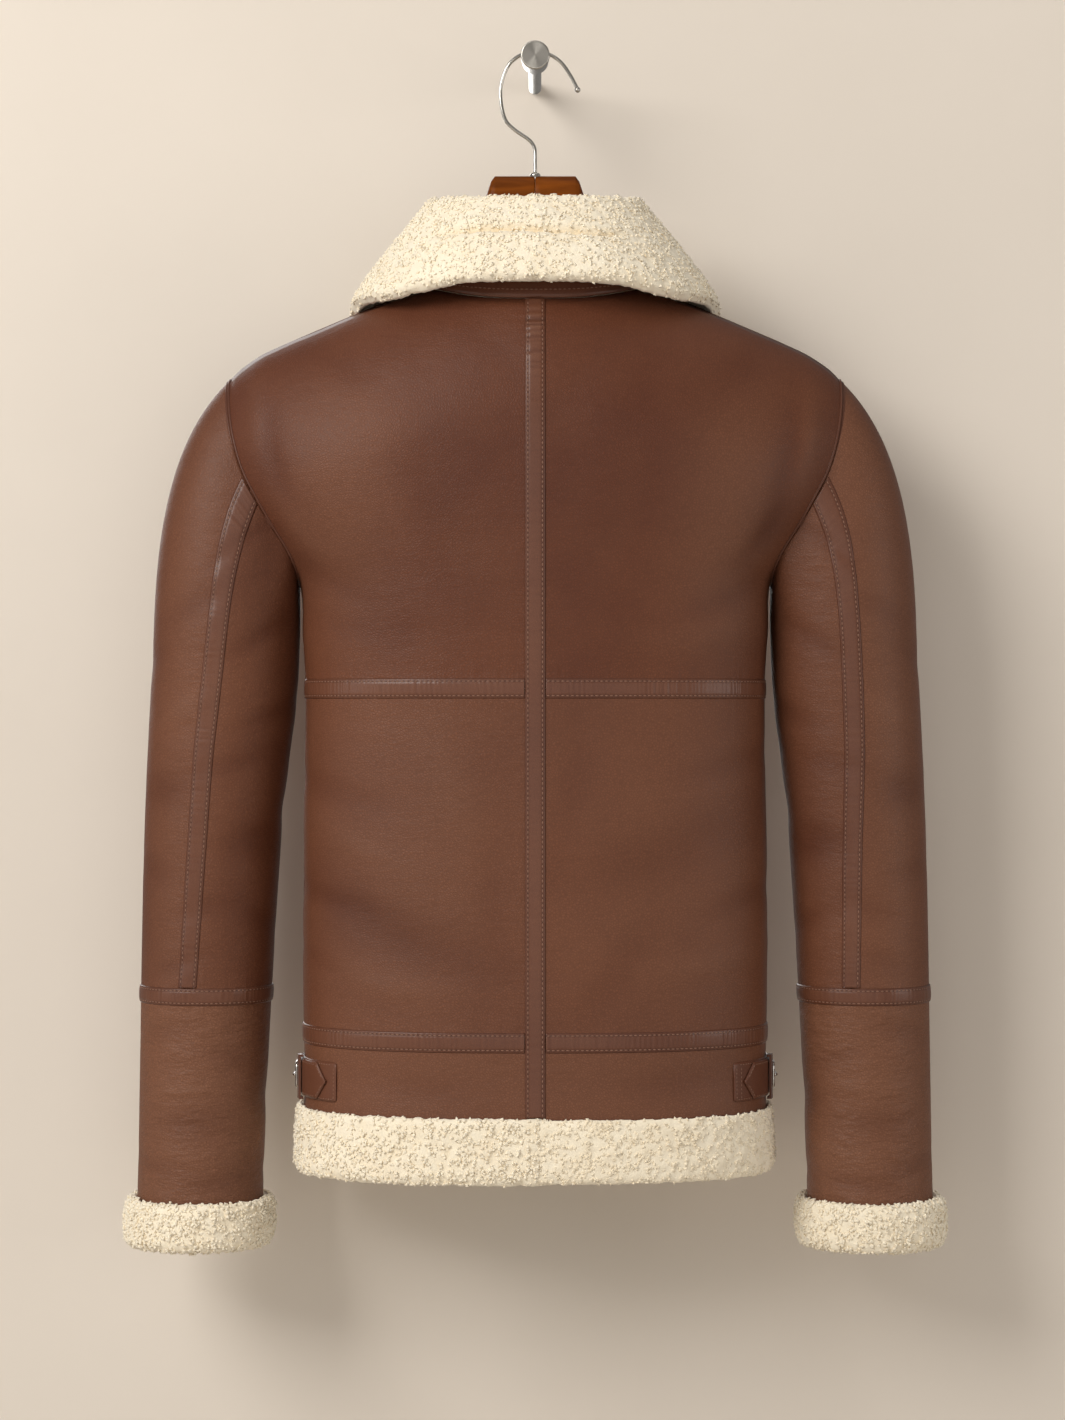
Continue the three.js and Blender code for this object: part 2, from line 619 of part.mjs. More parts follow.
function sectionAngle(arc) {
  const face = arc >= 0 ? 'back' : 'front';
  const width = along(BODY, 'z', 'width', ADJUST_Z);
  const depth = along(BODY, 'z', face, ADJUST_Z);
  const at = (angle) => {
    const out = Math.cos(angle) ** SQUARENESS + Math.sin(angle) ** SQUARENESS;
    const radius = out ** (-1 / SQUARENESS);
    return vector(width * radius * Math.cos(angle), depth * radius * Math.sin(angle), 0);
  };
  let angle = 0;
  let gone = 0;
  let last = at(0);
  while (gone < Math.abs(arc)) {
    angle += 0.004;
    const next = at(angle);
    gone += next.distanceTo(last);
    last = next;
  }
  return { face, x: last.x };
}

function adjusterSite(sign, arc, z) {
  const { face, x } = sectionAngle(arc);
  const width = along(BODY, 'z', 'width', ADJUST_Z);
  const share = x / width;
  const site = bodySite(face, sign * share * along(BODY, 'z', 'width', z), z);
  if (arc === 0) site.point.y = 0;
  return site;
}

function makeAdjuster({ word, sign }) {
  const ribbon = (arcs, half, low, thick) => wall([-1, 0, 1].map((row) => arcs.map((arc) => (
    adjusterSite(sign, arc, ADJUST_Z + row * half(arc))))), low + thick, low);
  const whole = (value) => () => value;
  const patch = steps(-30, 78, 12);
  const strap = steps(-62, 68, 15);
  const point = (arc) => (arc > 57 ? Math.max(14 * (68.6 - arc) / 11.6, 1.5) : 14);
  add(`adjuster_patch_${word}`, ribbon(patch, whole(15), LAYER, 1.3), STRIP);
  add(`adjuster_strap_${word}`, ribbon(strap, point, 2.0, 1.5), STRIP);

  // Keeper: a bridge over the strap that stands on the patch
  const half = 4.5;
  const bridge = [-1, 1].map((end) => {
    const place = (z, lift) => moved(adjusterSite(sign, 25 + end * half, z), lift);
    const [low, high] = [ADJUST_Z - 17, ADJUST_Z + 17];
    return [
      place(low, 2.3), place(low, 5.6), place(high, 5.6), place(high, 2.3),
      place(high - 1.8, 2.3), place(high - 1.8, 4.2), place(low + 1.8, 4.2), place(low + 1.8, 2.3),
    ];
  });
  add(`adjuster_keeper_${word}`, carried(bridge, false), STRIP);

  // Buckle: a flat rounded frame at the side seam with a prong across it
  const frame = roundedFrame(22, 37, 2.6, 5);
  const buckle = new THREE.ExtrudeGeometry(frame, { depth: 2.2, bevelEnabled: false, curveSegments: 4 });
  buckle.rotateY(Math.PI / 2);
  buckle.rotateX(Math.PI / 2);
  const seat = along(BODY, 'z', 'width', ADJUST_Z) + 4.2;
  buckle.translate(sign > 0 ? seat : -seat - 2.2, 0, ADJUST_Z);
  add(`buckle_frame_${word}`, buckle, STEEL);
  const prong = new THREE.CylinderGeometry(1, 1, 26, 8);
  prong.translate(sign * (seat + 2.2 + 1.4), -2, ADJUST_Z);
  add(`buckle_prong_${word}`, prong, STEEL);
}

// Outline of a rectangular frame with round corners and an open middle
function roundedFrame(tall, wide, bar, corner) {
  const outline = (target, w, h, r) => {
    const [x, y] = [w / 2, h / 2];
    target.moveTo(-x + r, -y);
    target.lineTo(x - r, -y);
    target.absarc(x - r, -y + r, r, -Math.PI / 2, 0);
    target.lineTo(x, y - r);
    target.absarc(x - r, y - r, r, 0, Math.PI / 2);
    target.lineTo(-x + r, y);
    target.absarc(-x + r, y - r, r, Math.PI / 2, Math.PI);
    target.lineTo(-x, -y + r);
    target.absarc(-x + r, -y + r, r, Math.PI, Math.PI * 1.5);
    return target;
  };
  const shape = outline(new THREE.Shape(), wide, tall, corner);
  shape.holes.push(outline(new THREE.Path(), wide - 2 * bar, tall - 2 * bar, corner - bar));
  return shape;
}

SIDES.forEach(makeAdjuster);

// Zip: the closed chain between the fronts, its slider and the pull tab
const ZIP_TOP_Z = -264;
const SLIDER_Z = -274;
const PIN_OUT = 8.2; // pin of the pull tab, out from the leather

function solid(geometry) {
  const bare = geometry.clone();
  bare.deleteAttribute('normal');
  bare.deleteAttribute('uv');
  const merged = mergeVertices(bare, 1e-4);
  return new wasm.Manifold(new wasm.Mesh({
    numProp: 3,
    vertProperties: merged.attributes.position.array,
    triVerts: new Uint32Array(merged.index.array),
  }));
}

function fromSolid(body) {
  const mesh = body.getMesh();
  const geometry = new THREE.BufferGeometry();
  geometry.setAttribute('position', new THREE.Float32BufferAttribute([...mesh.vertProperties], 3));
  geometry.setIndex([...mesh.triVerts]);
  return geometry;
}

function makeZip() {
  const rows = FRONT_ROWS.map((row) => (
    upperSite('front', 1, 0, row, PANEL_END_Z, 0).point.z));
  const heights = [HEM_END_Z + 3, HEM_TOP_Z, ...rows.filter((z) => z > HEM_TOP_Z && z < ZIP_TOP_Z - 1),
    ZIP_TOP_Z - 0.5];
  const sites = heights.map((z) => [-ZIP_HALF, ZIP_HALF].map((x) => bodySite('front', x, z)));
  add('zip_chain', wall(sites, -0.8, -4.2), STEEL);

  const front = bodyY('front', 0, SLIDER_Z);
  const place = (geometry, x, y, z) => geometry.translate(x, front + y, SLIDER_Z + z);
  const base = place(new THREE.BoxGeometry(9.5, 3.6, 13), 0, 2.7, -3);
  const lug = (x) => place(new THREE.BoxGeometry(1.4, 6.6, 5), x, 6.6, 1);
  const pin = place(new THREE.CylinderGeometry(0.9, 0.9, 9, 10).rotateZ(Math.PI / 2), 0, PIN_OUT, 1);
  const slider = [lug(-4), lug(4), pin].reduce((body, piece) => body.add(solid(piece)), solid(base));
  add('zip_slider', fromSolid(slider), STEEL);

  const tab = new THREE.Shape();
  tab.moveTo(-0.8, -2);
  tab.absarc(0, 0, 2.3, radians(250), radians(-70), true);
  tab.lineTo(0.8, -30);
  tab.lineTo(-0.8, -30);
  const eye = new THREE.Path();
  eye.absarc(0, 0, 1.3, 0, Math.PI * 2);
  tab.holes.push(eye);
  const pull = new THREE.ExtrudeGeometry(tab, { depth: 6, bevelEnabled: false, curveSegments: 10 });
  pull.rotateY(Math.PI / 2);
  pull.rotateX(Math.PI / 2);
  add('zip_pull', place(pull, -3, PIN_OUT, 1), STEEL);
}

makeZip();

// Hanger: two wooden arms that meet in the neck block, a steel hook and a
// ferrule. Each station has its middle height, half height and half depth.
const ARM = [
  { x: 0.2, top: -88, low: -186, deep: 12 },
  { x: 31, top: -88, low: -193, deep: 12 },
  { x: 34, top: -92, low: -194, deep: 12 },
  { x: 38, top: -104, low: -196, deep: 12 },
  { x: 46, top: -165, low: -199, deep: 13 },
  { x: 88, top: -182.8, low: -213, deep: 13.5 },
  { x: 130, top: -199, low: -228, deep: 17 },
  { x: 170, top: -215.8, low: -240, deep: 19 },
  { x: 200, top: -230, low: -250, deep: 20 },
  { x: 208, top: -240, low: -247, deep: 9 },
];

function makeHanger() {
  SIDES.forEach(({ word, sign }) => {
    const stations = ARM.map(({ x, top, low, deep }) => {
      const [middle, tall] = [(top + low) / 2, (top - low) / 2];
      return steps(0, 330, 11).map((degrees) => {
        const [c, s] = [Math.cos(radians(degrees)), Math.sin(radians(degrees))];
        const soft = (v) => Math.sign(v) * Math.abs(v) ** 0.85;
        return vector(sign * x, deep * soft(c), middle + tall * soft(s));
      });
    });
    add(`hanger_arm_${word}`, carried(stations, false), WOOD);
  });
  const wire = 1.4;
  const route = [
    [32.3, -20.2], [27, -10.2], [20, -0.4], [11.4, 5.6], [0, 8.7], [-11.6, 5], [-19.3, -1],
    [-23.9, -9.4], [-26.6, -20.9], [-25.7, -34.8], [-22.3, -45.6], [-15.4, -52.5],
    [-4.5, -60.2], [-0.6, -66], [0, -76], [0, -85.4],
  ].map(([x, z]) => vector(x, 0, z));
  const path = new THREE.CatmullRomCurve3(route, false, 'centripetal');
  const round = new THREE.Shape();
  round.absarc(0, 0, wire, 0, Math.PI * 2);
  const hook = new THREE.ExtrudeGeometry(round, {
    steps: 46, extrudePath: path, bevelEnabled: false, curveSegments: 4,
  });
  const ball = new THREE.SphereGeometry(2.3, 12, 8).translate(32.6, 0, -21.4);
  add('hanger_hook', fromSolid(solid(hook).add(solid(ball))), STEEL);
  const cup = [[0, -87.7], [4.2, -87.7], [3.6, -85.8], [0, -85.8]];
  const points = cup.map(([r, z]) => new THREE.Vector2(r, z));
  add('hanger_ferrule', new THREE.LatheGeometry(points, 16).rotateX(Math.PI / 2), STEEL);
}

// Wall peg: a thin shank and a turned head, about an axis along Y
const SHANK = 5;
const HEAD_START = HANG_DEPTH + 2.2;
const HEAD_LONG = 26;
const HEAD_RADIUS = 11;

function makePeg() {
  const end = HEAD_START + HEAD_LONG;
  const outline = [
    [0, 0], [SHANK, 0], [SHANK, HEAD_START], [9.4, HEAD_START], [10.2, HEAD_START + 1],
    [10.2, end - 10], [9.5, end - 9.4], [9.5, end - 8.4], [HEAD_RADIUS, end - 7.8],
    [HEAD_RADIUS, end - 0.9], [HEAD_RADIUS - 0.9, end], [0, end],
  ].map(([r, y]) => new THREE.Vector2(r, -y)).reverse();
  add('wall_peg', new THREE.LatheGeometry(outline, 24), STEEL, model);
}

makeHanger();
makePeg();

export default model;
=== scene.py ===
"""A brown shearling jacket, filled out and seen from its back, on a wooden
hanger whose steel hook hangs on a wall peg. Shapes are worked out in
millimetres in the jacket's own frame, whose back faces -Y, and go into the
meshes in metres, behind the wall plane by the hanger's depth."""
import bpy
import numpy as np
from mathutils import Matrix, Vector


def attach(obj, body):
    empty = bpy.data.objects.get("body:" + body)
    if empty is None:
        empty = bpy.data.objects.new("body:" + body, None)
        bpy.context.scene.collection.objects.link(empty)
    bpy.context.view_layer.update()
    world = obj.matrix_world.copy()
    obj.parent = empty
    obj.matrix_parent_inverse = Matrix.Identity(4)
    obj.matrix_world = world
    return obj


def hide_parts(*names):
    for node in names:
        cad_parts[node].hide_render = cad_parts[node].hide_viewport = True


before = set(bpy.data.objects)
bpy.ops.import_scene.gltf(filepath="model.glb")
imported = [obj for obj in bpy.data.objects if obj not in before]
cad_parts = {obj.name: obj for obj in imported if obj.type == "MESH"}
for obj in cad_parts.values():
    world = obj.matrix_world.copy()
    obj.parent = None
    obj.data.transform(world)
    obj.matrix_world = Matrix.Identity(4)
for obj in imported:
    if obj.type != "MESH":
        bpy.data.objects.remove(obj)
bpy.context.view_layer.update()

# The room: a pale plaster wall that holds the peg, a pale floor, a camera
# level with the middle of the jacket and 2.5 m from it, and soft studio light
# whose largest source is at the upper left.
HANG_DEPTH = 105.0  # hanger plane to the wall


def fill(tree, node, inputs):
    """Give a node its inputs, by name or number: each is a value, or another
    node's output that is linked to it."""
    for word, value in inputs.items():
        if isinstance(value, bpy.types.NodeSocket):
            tree.links.new(value, node.inputs[word])
        else:
            node.inputs[word].default_value = value
    return node


def add(tree, kind, inputs=None, **settings):
    """New shader node of a kind, with its settings and inputs."""
    node = tree.nodes.new(f"ShaderNode{kind}")
    for word, value in settings.items():
        setattr(node, word, value)
    return fill(tree, node, inputs or {})


def dress(material, inputs):
    """Give a material's own shader its inputs."""
    fill(material.node_tree, material.node_tree.nodes["Principled BSDF"], inputs)


def plain(name, colour, roughness, metallic=0.0):
    """Material of one colour, given as linear red, green and blue."""
    material = bpy.data.materials.new(name)
    material.use_nodes = True
    dress(material, {"Base Color": (*colour, 1), "Roughness": roughness, "Metallic": metallic})
    return material


def backdrop(name, corners, material):
    """One flat face through four corners, in metres, that is no part of the
    jacket."""
    mesh = bpy.data.meshes.new(name)
    mesh.from_pydata(corners, [], [(0, 1, 2, 3)])
    mesh.materials.append(material)
    sheet = bpy.data.objects.new(name, mesh)
    bpy.context.collection.objects.link(sheet)


def clouded(material, stretch, distortion, *tones):
    """Base colour that goes with noise between two tones, each a place on the
    ramp and a colour. stretch is the noise's scale along each axis."""
    tree = material.node_tree
    place = add(tree, "Mapping", {"Vector": add(tree, "TexCoord").outputs["Object"],
                                  "Scale": stretch}).outputs["Vector"]
    clouds = add(tree, "TexNoise", {"Vector": place, "Scale": 1.0, "Detail": 6,
                                    "Distortion": distortion}).outputs["Fac"]
    ramp = add(tree, "ValToRGB", {"Fac": clouds})
    for element, (at, colour) in zip(ramp.color_ramp.elements, tones):
        element.position, element.color = at, (*colour, 1)
    dress(material, {"Base Color": ramp.outputs["Color"]})


plaster = plain("plaster", (0.74, 0.66, 0.56), 0.9)
clouded(plaster, (2.2, 2.2, 2.2), 0, (0.3, (0.735, 0.66, 0.575)), (0.7, (0.775, 0.7, 0.615)))
# The wall shows only to a camera in front of it, and holds back no light
tree = plaster.node_tree
seen = add(tree, "Math", {0: add(tree, "LightPath").outputs["Is Camera Ray"],
                          1: add(tree, "NewGeometry").outputs["Backfacing"]},
           operation="SUBTRACT", use_clamp=True)
mix = add(tree, "MixShader", {"Fac": seen.outputs["Value"],
                              1: add(tree, "BsdfTransparent").outputs["BSDF"],
                              2: tree.nodes["Principled BSDF"].outputs["BSDF"]})
fill(tree, tree.nodes["Material Output"], {"Surface": mix.outputs["Shader"]})
FLOOR, WALL_BACK = -1.25, 0.0015
backdrop("wall", [(x, WALL_BACK, z) for x, z in ((-1, FLOOR), (1, FLOOR), (1, 0.6), (-1, 0.6))],
         plaster)
backdrop("floor", [(x, y, FLOOR) for x, y in ((-6, -6), (6, -6), (6, 6), (-6, 6))],
         plain("pale_floor", (0.6, 0.55, 0.49), 0.85))

camera = bpy.data.objects.new("camera", bpy.data.cameras.new("camera"))
camera.location = (-0.002, -2.605, -0.499)
camera.rotation_euler = (np.pi / 2, 0, 0)
camera.data.lens = 82.3
camera.data.sensor_width = 36
bpy.context.collection.objects.link(camera)
bpy.context.scene.camera = camera


def soft_light(name, place, size, power, colour):
    """Square light of a size in metres, aimed at the middle of the jacket."""
    light = bpy.data.objects.new(name, bpy.data.lights.new(name, "AREA"))
    light.data.size = size
    light.data.energy = power
    light.data.color = colour
    light.location = place
    aim = Vector((0, -0.1, -0.5)) - Vector(place)
    light.rotation_euler = aim.to_track_quat("-Z", "Y").to_euler()
    bpy.context.collection.objects.link(light)


soft_light("key_light", (-1.75, -2.2, 0.95), 1.5, 68, (1, 0.985, 0.955))
soft_light("left_light", (-2.3, -1.2, -0.35), 1.0, 5, (1, 0.975, 0.95))
soft_light("right_light", (2.3, -1.2, -0.3), 1.2, 12, (1, 0.975, 0.95))
soft_light("fill_light", (0.4, -3.2, -0.7), 2.4, 13, (1, 0.98, 0.96))
soft_light("top_light", (0.2, -0.5, 1.7), 1.4, 4, (1, 0.98, 0.96))
soft_light("wall_side_light", (-0.9, 2.6, 0.5), 2.0, 32, (1, 0.98, 0.96))
world = bpy.data.worlds.new("studio")
world.use_nodes = True
fill(world.node_tree, world.node_tree.nodes["Background"],
     {"Color": (1.0, 0.965, 0.92, 1), "Strength": 0.24})
bpy.context.scene.world = world
bpy.context.scene.view_settings.view_transform = "Standard"

# Body panels: six shearling panels in the back and two fronts, leather
# outside and cropped wool inside, sewn edge to edge over a full body. Their
# face is a rounded section that the shoulder ridge and the sides draw in.
SEAM = 0.4
HIDE = 5.0
SQUARENESS = 2.5
SHOULDER_ROUND = 130.0
NECK_X, NECK_Z = 88.0, -175.0
SHOULDER_X, SHOULDER_Z = 235.0, -246.0
BACK_NECK_DROP, FRONT_NECK_DROP = 16.0, 87.0
ARMPIT_Z, WAIST_SEAM_Z, HEM_SEAM_Z, PANEL_END_Z = -402.0, -483.0, -745.0, -809.0
ZIP_HALF = 3.4
SIDES = ((-1, "left"), (1, "right"))
BODY = [  # height, half width, depth of the back, depth of the front
    (-856, 180.5, 107, 92), (-800, 177.4, 106, 92), (-775, 176.9, 105, 91),
    (-720, 178, 104, 91), (-600, 178, 101, 90), (-483, 176.3, 99, 89),
    (-440, 178.6, 100, 89), (-402, 181, 101, 88), (-380, 195, 101, 87),
    (-340, 227, 101, 86), (-300, 248, 100, 84), (-260, 259, 98, 81),
    (-200, 266, 96, 79), (-140, 268, 95, 78),
]
ARMHOLE = [  # height, x of the seam
    (-440, 178.6), (-402, 181), (-391, 182.5), (-378, 188), (-360, 199), (-337, 212),
    (-317, 222), (-294, 229), (-272, 233), (-246, 235), (-220, 235),
]
RIDGE = [  # x, height of the shoulder's ridge
    (-40, -157), (0, -149), (40, -157), (88, -175), (119, -187), (158, -203),
    (204, -223), (225, -236), (235, -246), (250, -263),
]
BACK_FOLDS = [  # x, height, half length, half width, depth, lean; negative depth is a ridge
    (-199, -322, 42, 11, 2.6, 14), (-110, -665, 70, 20, 1.8, 62), (95, -610, 80, 24, 1.5, -70),
    (190, -330, 50, 13, 2.0, -16), (-208, -300, 60, 9, -1.6, 10), (-186, -352, 36, 8, -1.4, 30),
    (204, -306, 46, 9, -1.8, -12), (176, -366, 34, 8, 1.3, -38), (-150, -404, 46, 10, 1.0, 58),
    (152, -412, 40, 9, 0.9, -60), (-120, -440, 60, 12, 0.8, 82), (118, -446, 56, 11, -0.7, -84),
    (-60, -372, 70, 22, 0.9, 30), (66, -350, 74, 24, 0.8, -24), (-152, -560, 48, 10, 0.9, 70),
    (-136, -600, 40, 9, -0.8, 64), (-158, -640, 40, 8, 1.1, 74), (-120, -704, 52, 9, -0.9, 78),
    (-160, -690, 26, 6, 1.0, 60), (-60, -560, 60, 18, -0.8, 20), (150, -540, 44, 10, 0.9, -72),
    (162, -640, 38, 9, 1.0, -66), (132, -690, 50, 10, -0.9, -80), (60, -700, 46, 14, 0.8, -40),
    (30, -560, 60, 12, 0.6, -8), (-30, -640, 66, 12, 0.6, 6), (-90, -780, 40, 12, 0.7, 84),
    (100, -778, 44, 12, 0.7, -86), (-20, -240, 50, 12, 0.6, 40), (34, -252, 52, 13, 0.6, -36),
    (-140, -240, 46, 16, 0.8, 50), (150, -246, 44, 15, 0.8, -50),
]
FRONT_FOLDS = [
    (-196, -318, 44, 11, 2.2, 14), (198, -330, 46, 12, 2.0, -16), (-150, -400, 52, 12, 1.2, 52),
    (148, -412, 48, 11, 1.2, -54), (-110, -520, 70, 20, 1.6, 60), (112, -560, 76, 22, 1.6, -66),
    (-136, -640, 46, 10, 1.0, 70), (140, -660, 44, 10, 1.0, -70), (-60, -700, 50, 12, -0.8, 30),
    (58, -620, 52, 14, -0.8, -26), (-90, -340, 60, 18, 1.0, 34), (92, -352, 58, 17, 1.0, -30),
    (-140, -740, 40, 9, 0.9, 78), (126, -760, 44, 10, 0.9, -80), (-40, -460, 60, 10, 0.7, 12),
    (42, -480, 56, 10, 0.7, -10), (-150, -580, 36, 9, -0.8, 66), (156, -520, 36, 9, -0.8, -64),
]


def along(table, column, at):
    """Smooth curve through a table's rows: a cubic between each two, whose
    slope at a row is that of the chord between the rows beside it."""
    rows = np.array(sorted(table), float)
    key, value = rows[:, 0], rows[:, column]
    ends = np.r_[0, np.arange(len(key)), len(key) - 1]
    slope = (value[ends[2:]] - value[ends[:-2]]) / (key[ends[2:]] - key[ends[:-2]])
    at = np.clip(at, key[0], key[-1])
    i = np.clip(np.searchsorted(key, at, side="right") - 1, 0, len(key) - 2)
    step = key[i + 1] - key[i]
    t = (at - key[i]) / step
    return ((2 * t**3 - 3 * t**2 + 1) * value[i] + (t**3 - 2 * t**2 + t) * step * slope[i]
            + (3 * t**2 - 2 * t**3) * value[i + 1] + (t**3 - t**2) * step * slope[i + 1])


def unit(v):
    return v / np.maximum(np.linalg.norm(v, axis=-1, keepdims=True), 1e-9)


def bell(at, middle, width):
    """exp(-((at - middle) / width)^2)."""
    return np.exp(-(((at - middle) / width) ** 2))


def side_factor(x, z):
    """(1 - |x / half width|^squareness)^(1 / squareness)."""
    share = np.clip(np.abs(x) / along(BODY, 1, z), 0, 1)
    return (1 - share**SQUARENESS) ** (1 / SQUARENESS)


def ridge_factor(x, z):
    """A quarter circle from the shoulder's ridge down over the round."""
    drop = (along(RIDGE, 1, np.abs(x)) - z) / SHOULDER_ROUND
    return np.sqrt(1 - (1 - np.clip(drop, 0, 1)) ** 2)


def body_y(face, x, z):
    """Depth of the face, -1 back or 1 front: depth at the height times the
    side and ridge factors."""
    reach = along(BODY, 2 if face < 0 else 3, z) * side_factor(x, z) * ridge_factor(x, z)
    return face * np.maximum(reach, SEAM / 2)


def body_normal(face, x, y, z):
    """Slope of the face's equation, by central differences."""
    near_ridge = ridge_factor(x, z) < side_factor(x, z)

    def equation(x, y, z):
        part = np.abs(y) / along(BODY, 2 if face < 0 else 3, z)
        fall = 1 - (along(RIDGE, 1, np.abs(x)) - z) / SHOULDER_ROUND
        over = (part / np.maximum(side_factor(x, z), 1e-3)) ** 2 + np.maximum(fall, 0) ** 2
        share = np.abs(x) / along(BODY, 1, z)
        beside = (part / np.maximum(ridge_factor(x, z), 1e-3)) ** SQUARENESS + share**SQUARENESS
        return np.where(near_ridge, over, beside)

    e = 0.02
    return unit(np.stack([
        equation(x + e, y, z) - equation(x - e, y, z),
        equation(x, y + e, z) - equation(x, y - e, z),
        equation(x, y, z + e) - equation(x, y, z - e),
    ], -1))


def hollows(folds, x, z):
    """Sum of long soft ovals: -depth exp(-(across / width)^2 - (up / length)^2)."""
    total = np.zeros(np.broadcast(x, z).shape)
    for at_x, at_z, long, wide, deep, lean in folds:
        c, s = np.cos(np.radians(lean)), np.sin(np.radians(lean))
        across = (x - at_x) * c + (z - at_z) * s
        up = (z - at_z) * c - (x - at_x) * s
        bow = across + 0.0022 * up**2 * np.sign(at_x)  # a real crease bends a little
        total -= deep * bell(bow, 0, wide) * bell(up, 0, long)
    return total


def body_site(face, x, z):
    """Points on the leather's face, their outward directions, and the depth of
    the folds there."""
    x, z = np.broadcast_arrays(np.asarray(x, float), np.asarray(z, float))
    y = body_y(face, x, z)
    normal = body_normal(face, x, y, z)
    fold = hollows(BACK_FOLDS if face < 0 else FRONT_FOLDS, x, z)
    return np.stack([x, y, z], -1) + normal * fold[..., None], normal, fold


def top_edge(face, x):
    """Neckline, a flattened curve at the back and an ellipse in front, then
    the shoulder's ridge."""
    share = np.minimum(x / NECK_X, 1)
    back = NECK_Z - BACK_NECK_DROP * (1 - share**SQUARENESS)
    front = NECK_Z - FRONT_NECK_DROP * np.sqrt(1 - share**2)
    return np.where(x >= NECK_X, along(RIDGE, 1, x), back if face < 0 else front)


def upper_site(face, side, share, row, low, middle):
    """Panel up to the neck and shoulder: row is the height at the armhole's
    edge, and each column goes from low to its top edge in step. Only the last
    rows follow the edge's corner at the neck, by (rows' share)^24."""
    spread = np.sin(share * np.pi / 2)
    part = (row - low) / (SHOULDER_Z - low)
    across = SHOULDER_X * spread
    top = top_edge(face, across)
    soft_top = np.mean([top_edge(face, np.abs(across + d)) for d in np.linspace(-24, 24, 13)], 0)
    z = low + (soft_top - low) * part + (top - soft_top) * part**24
    edge = along(ARMHOLE, 1, row) - np.where(row > ARMPIT_Z, SEAM / 2, 0)
    width = np.where(row < ARMPIT_Z, along(BODY, 1, row), edge)
    return body_site(face, side * (middle + (width - middle) * spread), z)


def lower_site(face, side, share, z, middle):
    """Panel below the armpit: x goes from middle to the half width by
    sin(share 90 deg)."""
    width = along(BODY, 1, z)
    return body_site(face, side * (middle + (width - middle) * np.sin(share * np.pi / 2)), z)


def grid_faces(rows, columns, wrap=False, ring=False):
    """Four corners of each cell of a grid of points, rows by columns. wrap
    joins the last column to the first, and ring the last row to the first."""
    vertex = np.arange(rows * columns).reshape(rows, columns)
    if wrap:
        vertex = np.concatenate([vertex, vertex[:, :1]], 1)
    if ring:
        vertex = np.concatenate([vertex, vertex[:1]], 0)
    cells = [vertex[:-1, :-1], vertex[:-1, 1:], vertex[1:, 1:], vertex[1:, :-1]]
    return np.stack(cells, -1).reshape(-1, 4)


def make_mesh(name, points, faces, marks=None):
    """Smooth mesh in metres from points in millimetres in the jacket's frame,
    with a value for each point under each name in marks."""
    mesh = bpy.data.meshes.new(name)
    placed = (np.asarray(points).reshape(-1, 3) + (0, -HANG_DEPTH, 0)) / 1000
    mesh.from_pydata(placed.tolist(), [], faces if isinstance(faces, list) else faces.tolist())
    mesh.polygons.foreach_set("use_smooth", np.ones(len(mesh.polygons), bool))
    for word, values in (marks or {}).items():
        layer = mesh.attributes.new(word, "FLOAT", "POINT")
        values = np.broadcast_to(values, np.asarray(points).shape[:-1])
        layer.data.foreach_set("value", values.astype(np.float32).ravel())
    mesh.update()
    return mesh


def piece(name, mesh, materials, nodes=(), body="jacket"):
    """Object at the origin that rides on a body and stands for CAD nodes."""
    obj = bpy.data.objects.new(name, mesh)
    bpy.context.collection.objects.link(obj)
    for material in materials:
        mesh.materials.append(material)
    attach(obj, body)
    if nodes:
        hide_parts(*nodes)
    return obj


def length_along(point):
    """Length gone at each point of a path."""
    return np.r_[0, np.cumsum(np.linalg.norm(np.diff(point, axis=0), axis=-1))]


def circle(count, whole=2 * np.pi):
    """Even turns, whose last step leads back to the first."""
    return np.linspace(0, whole, count + 1)[:-1]


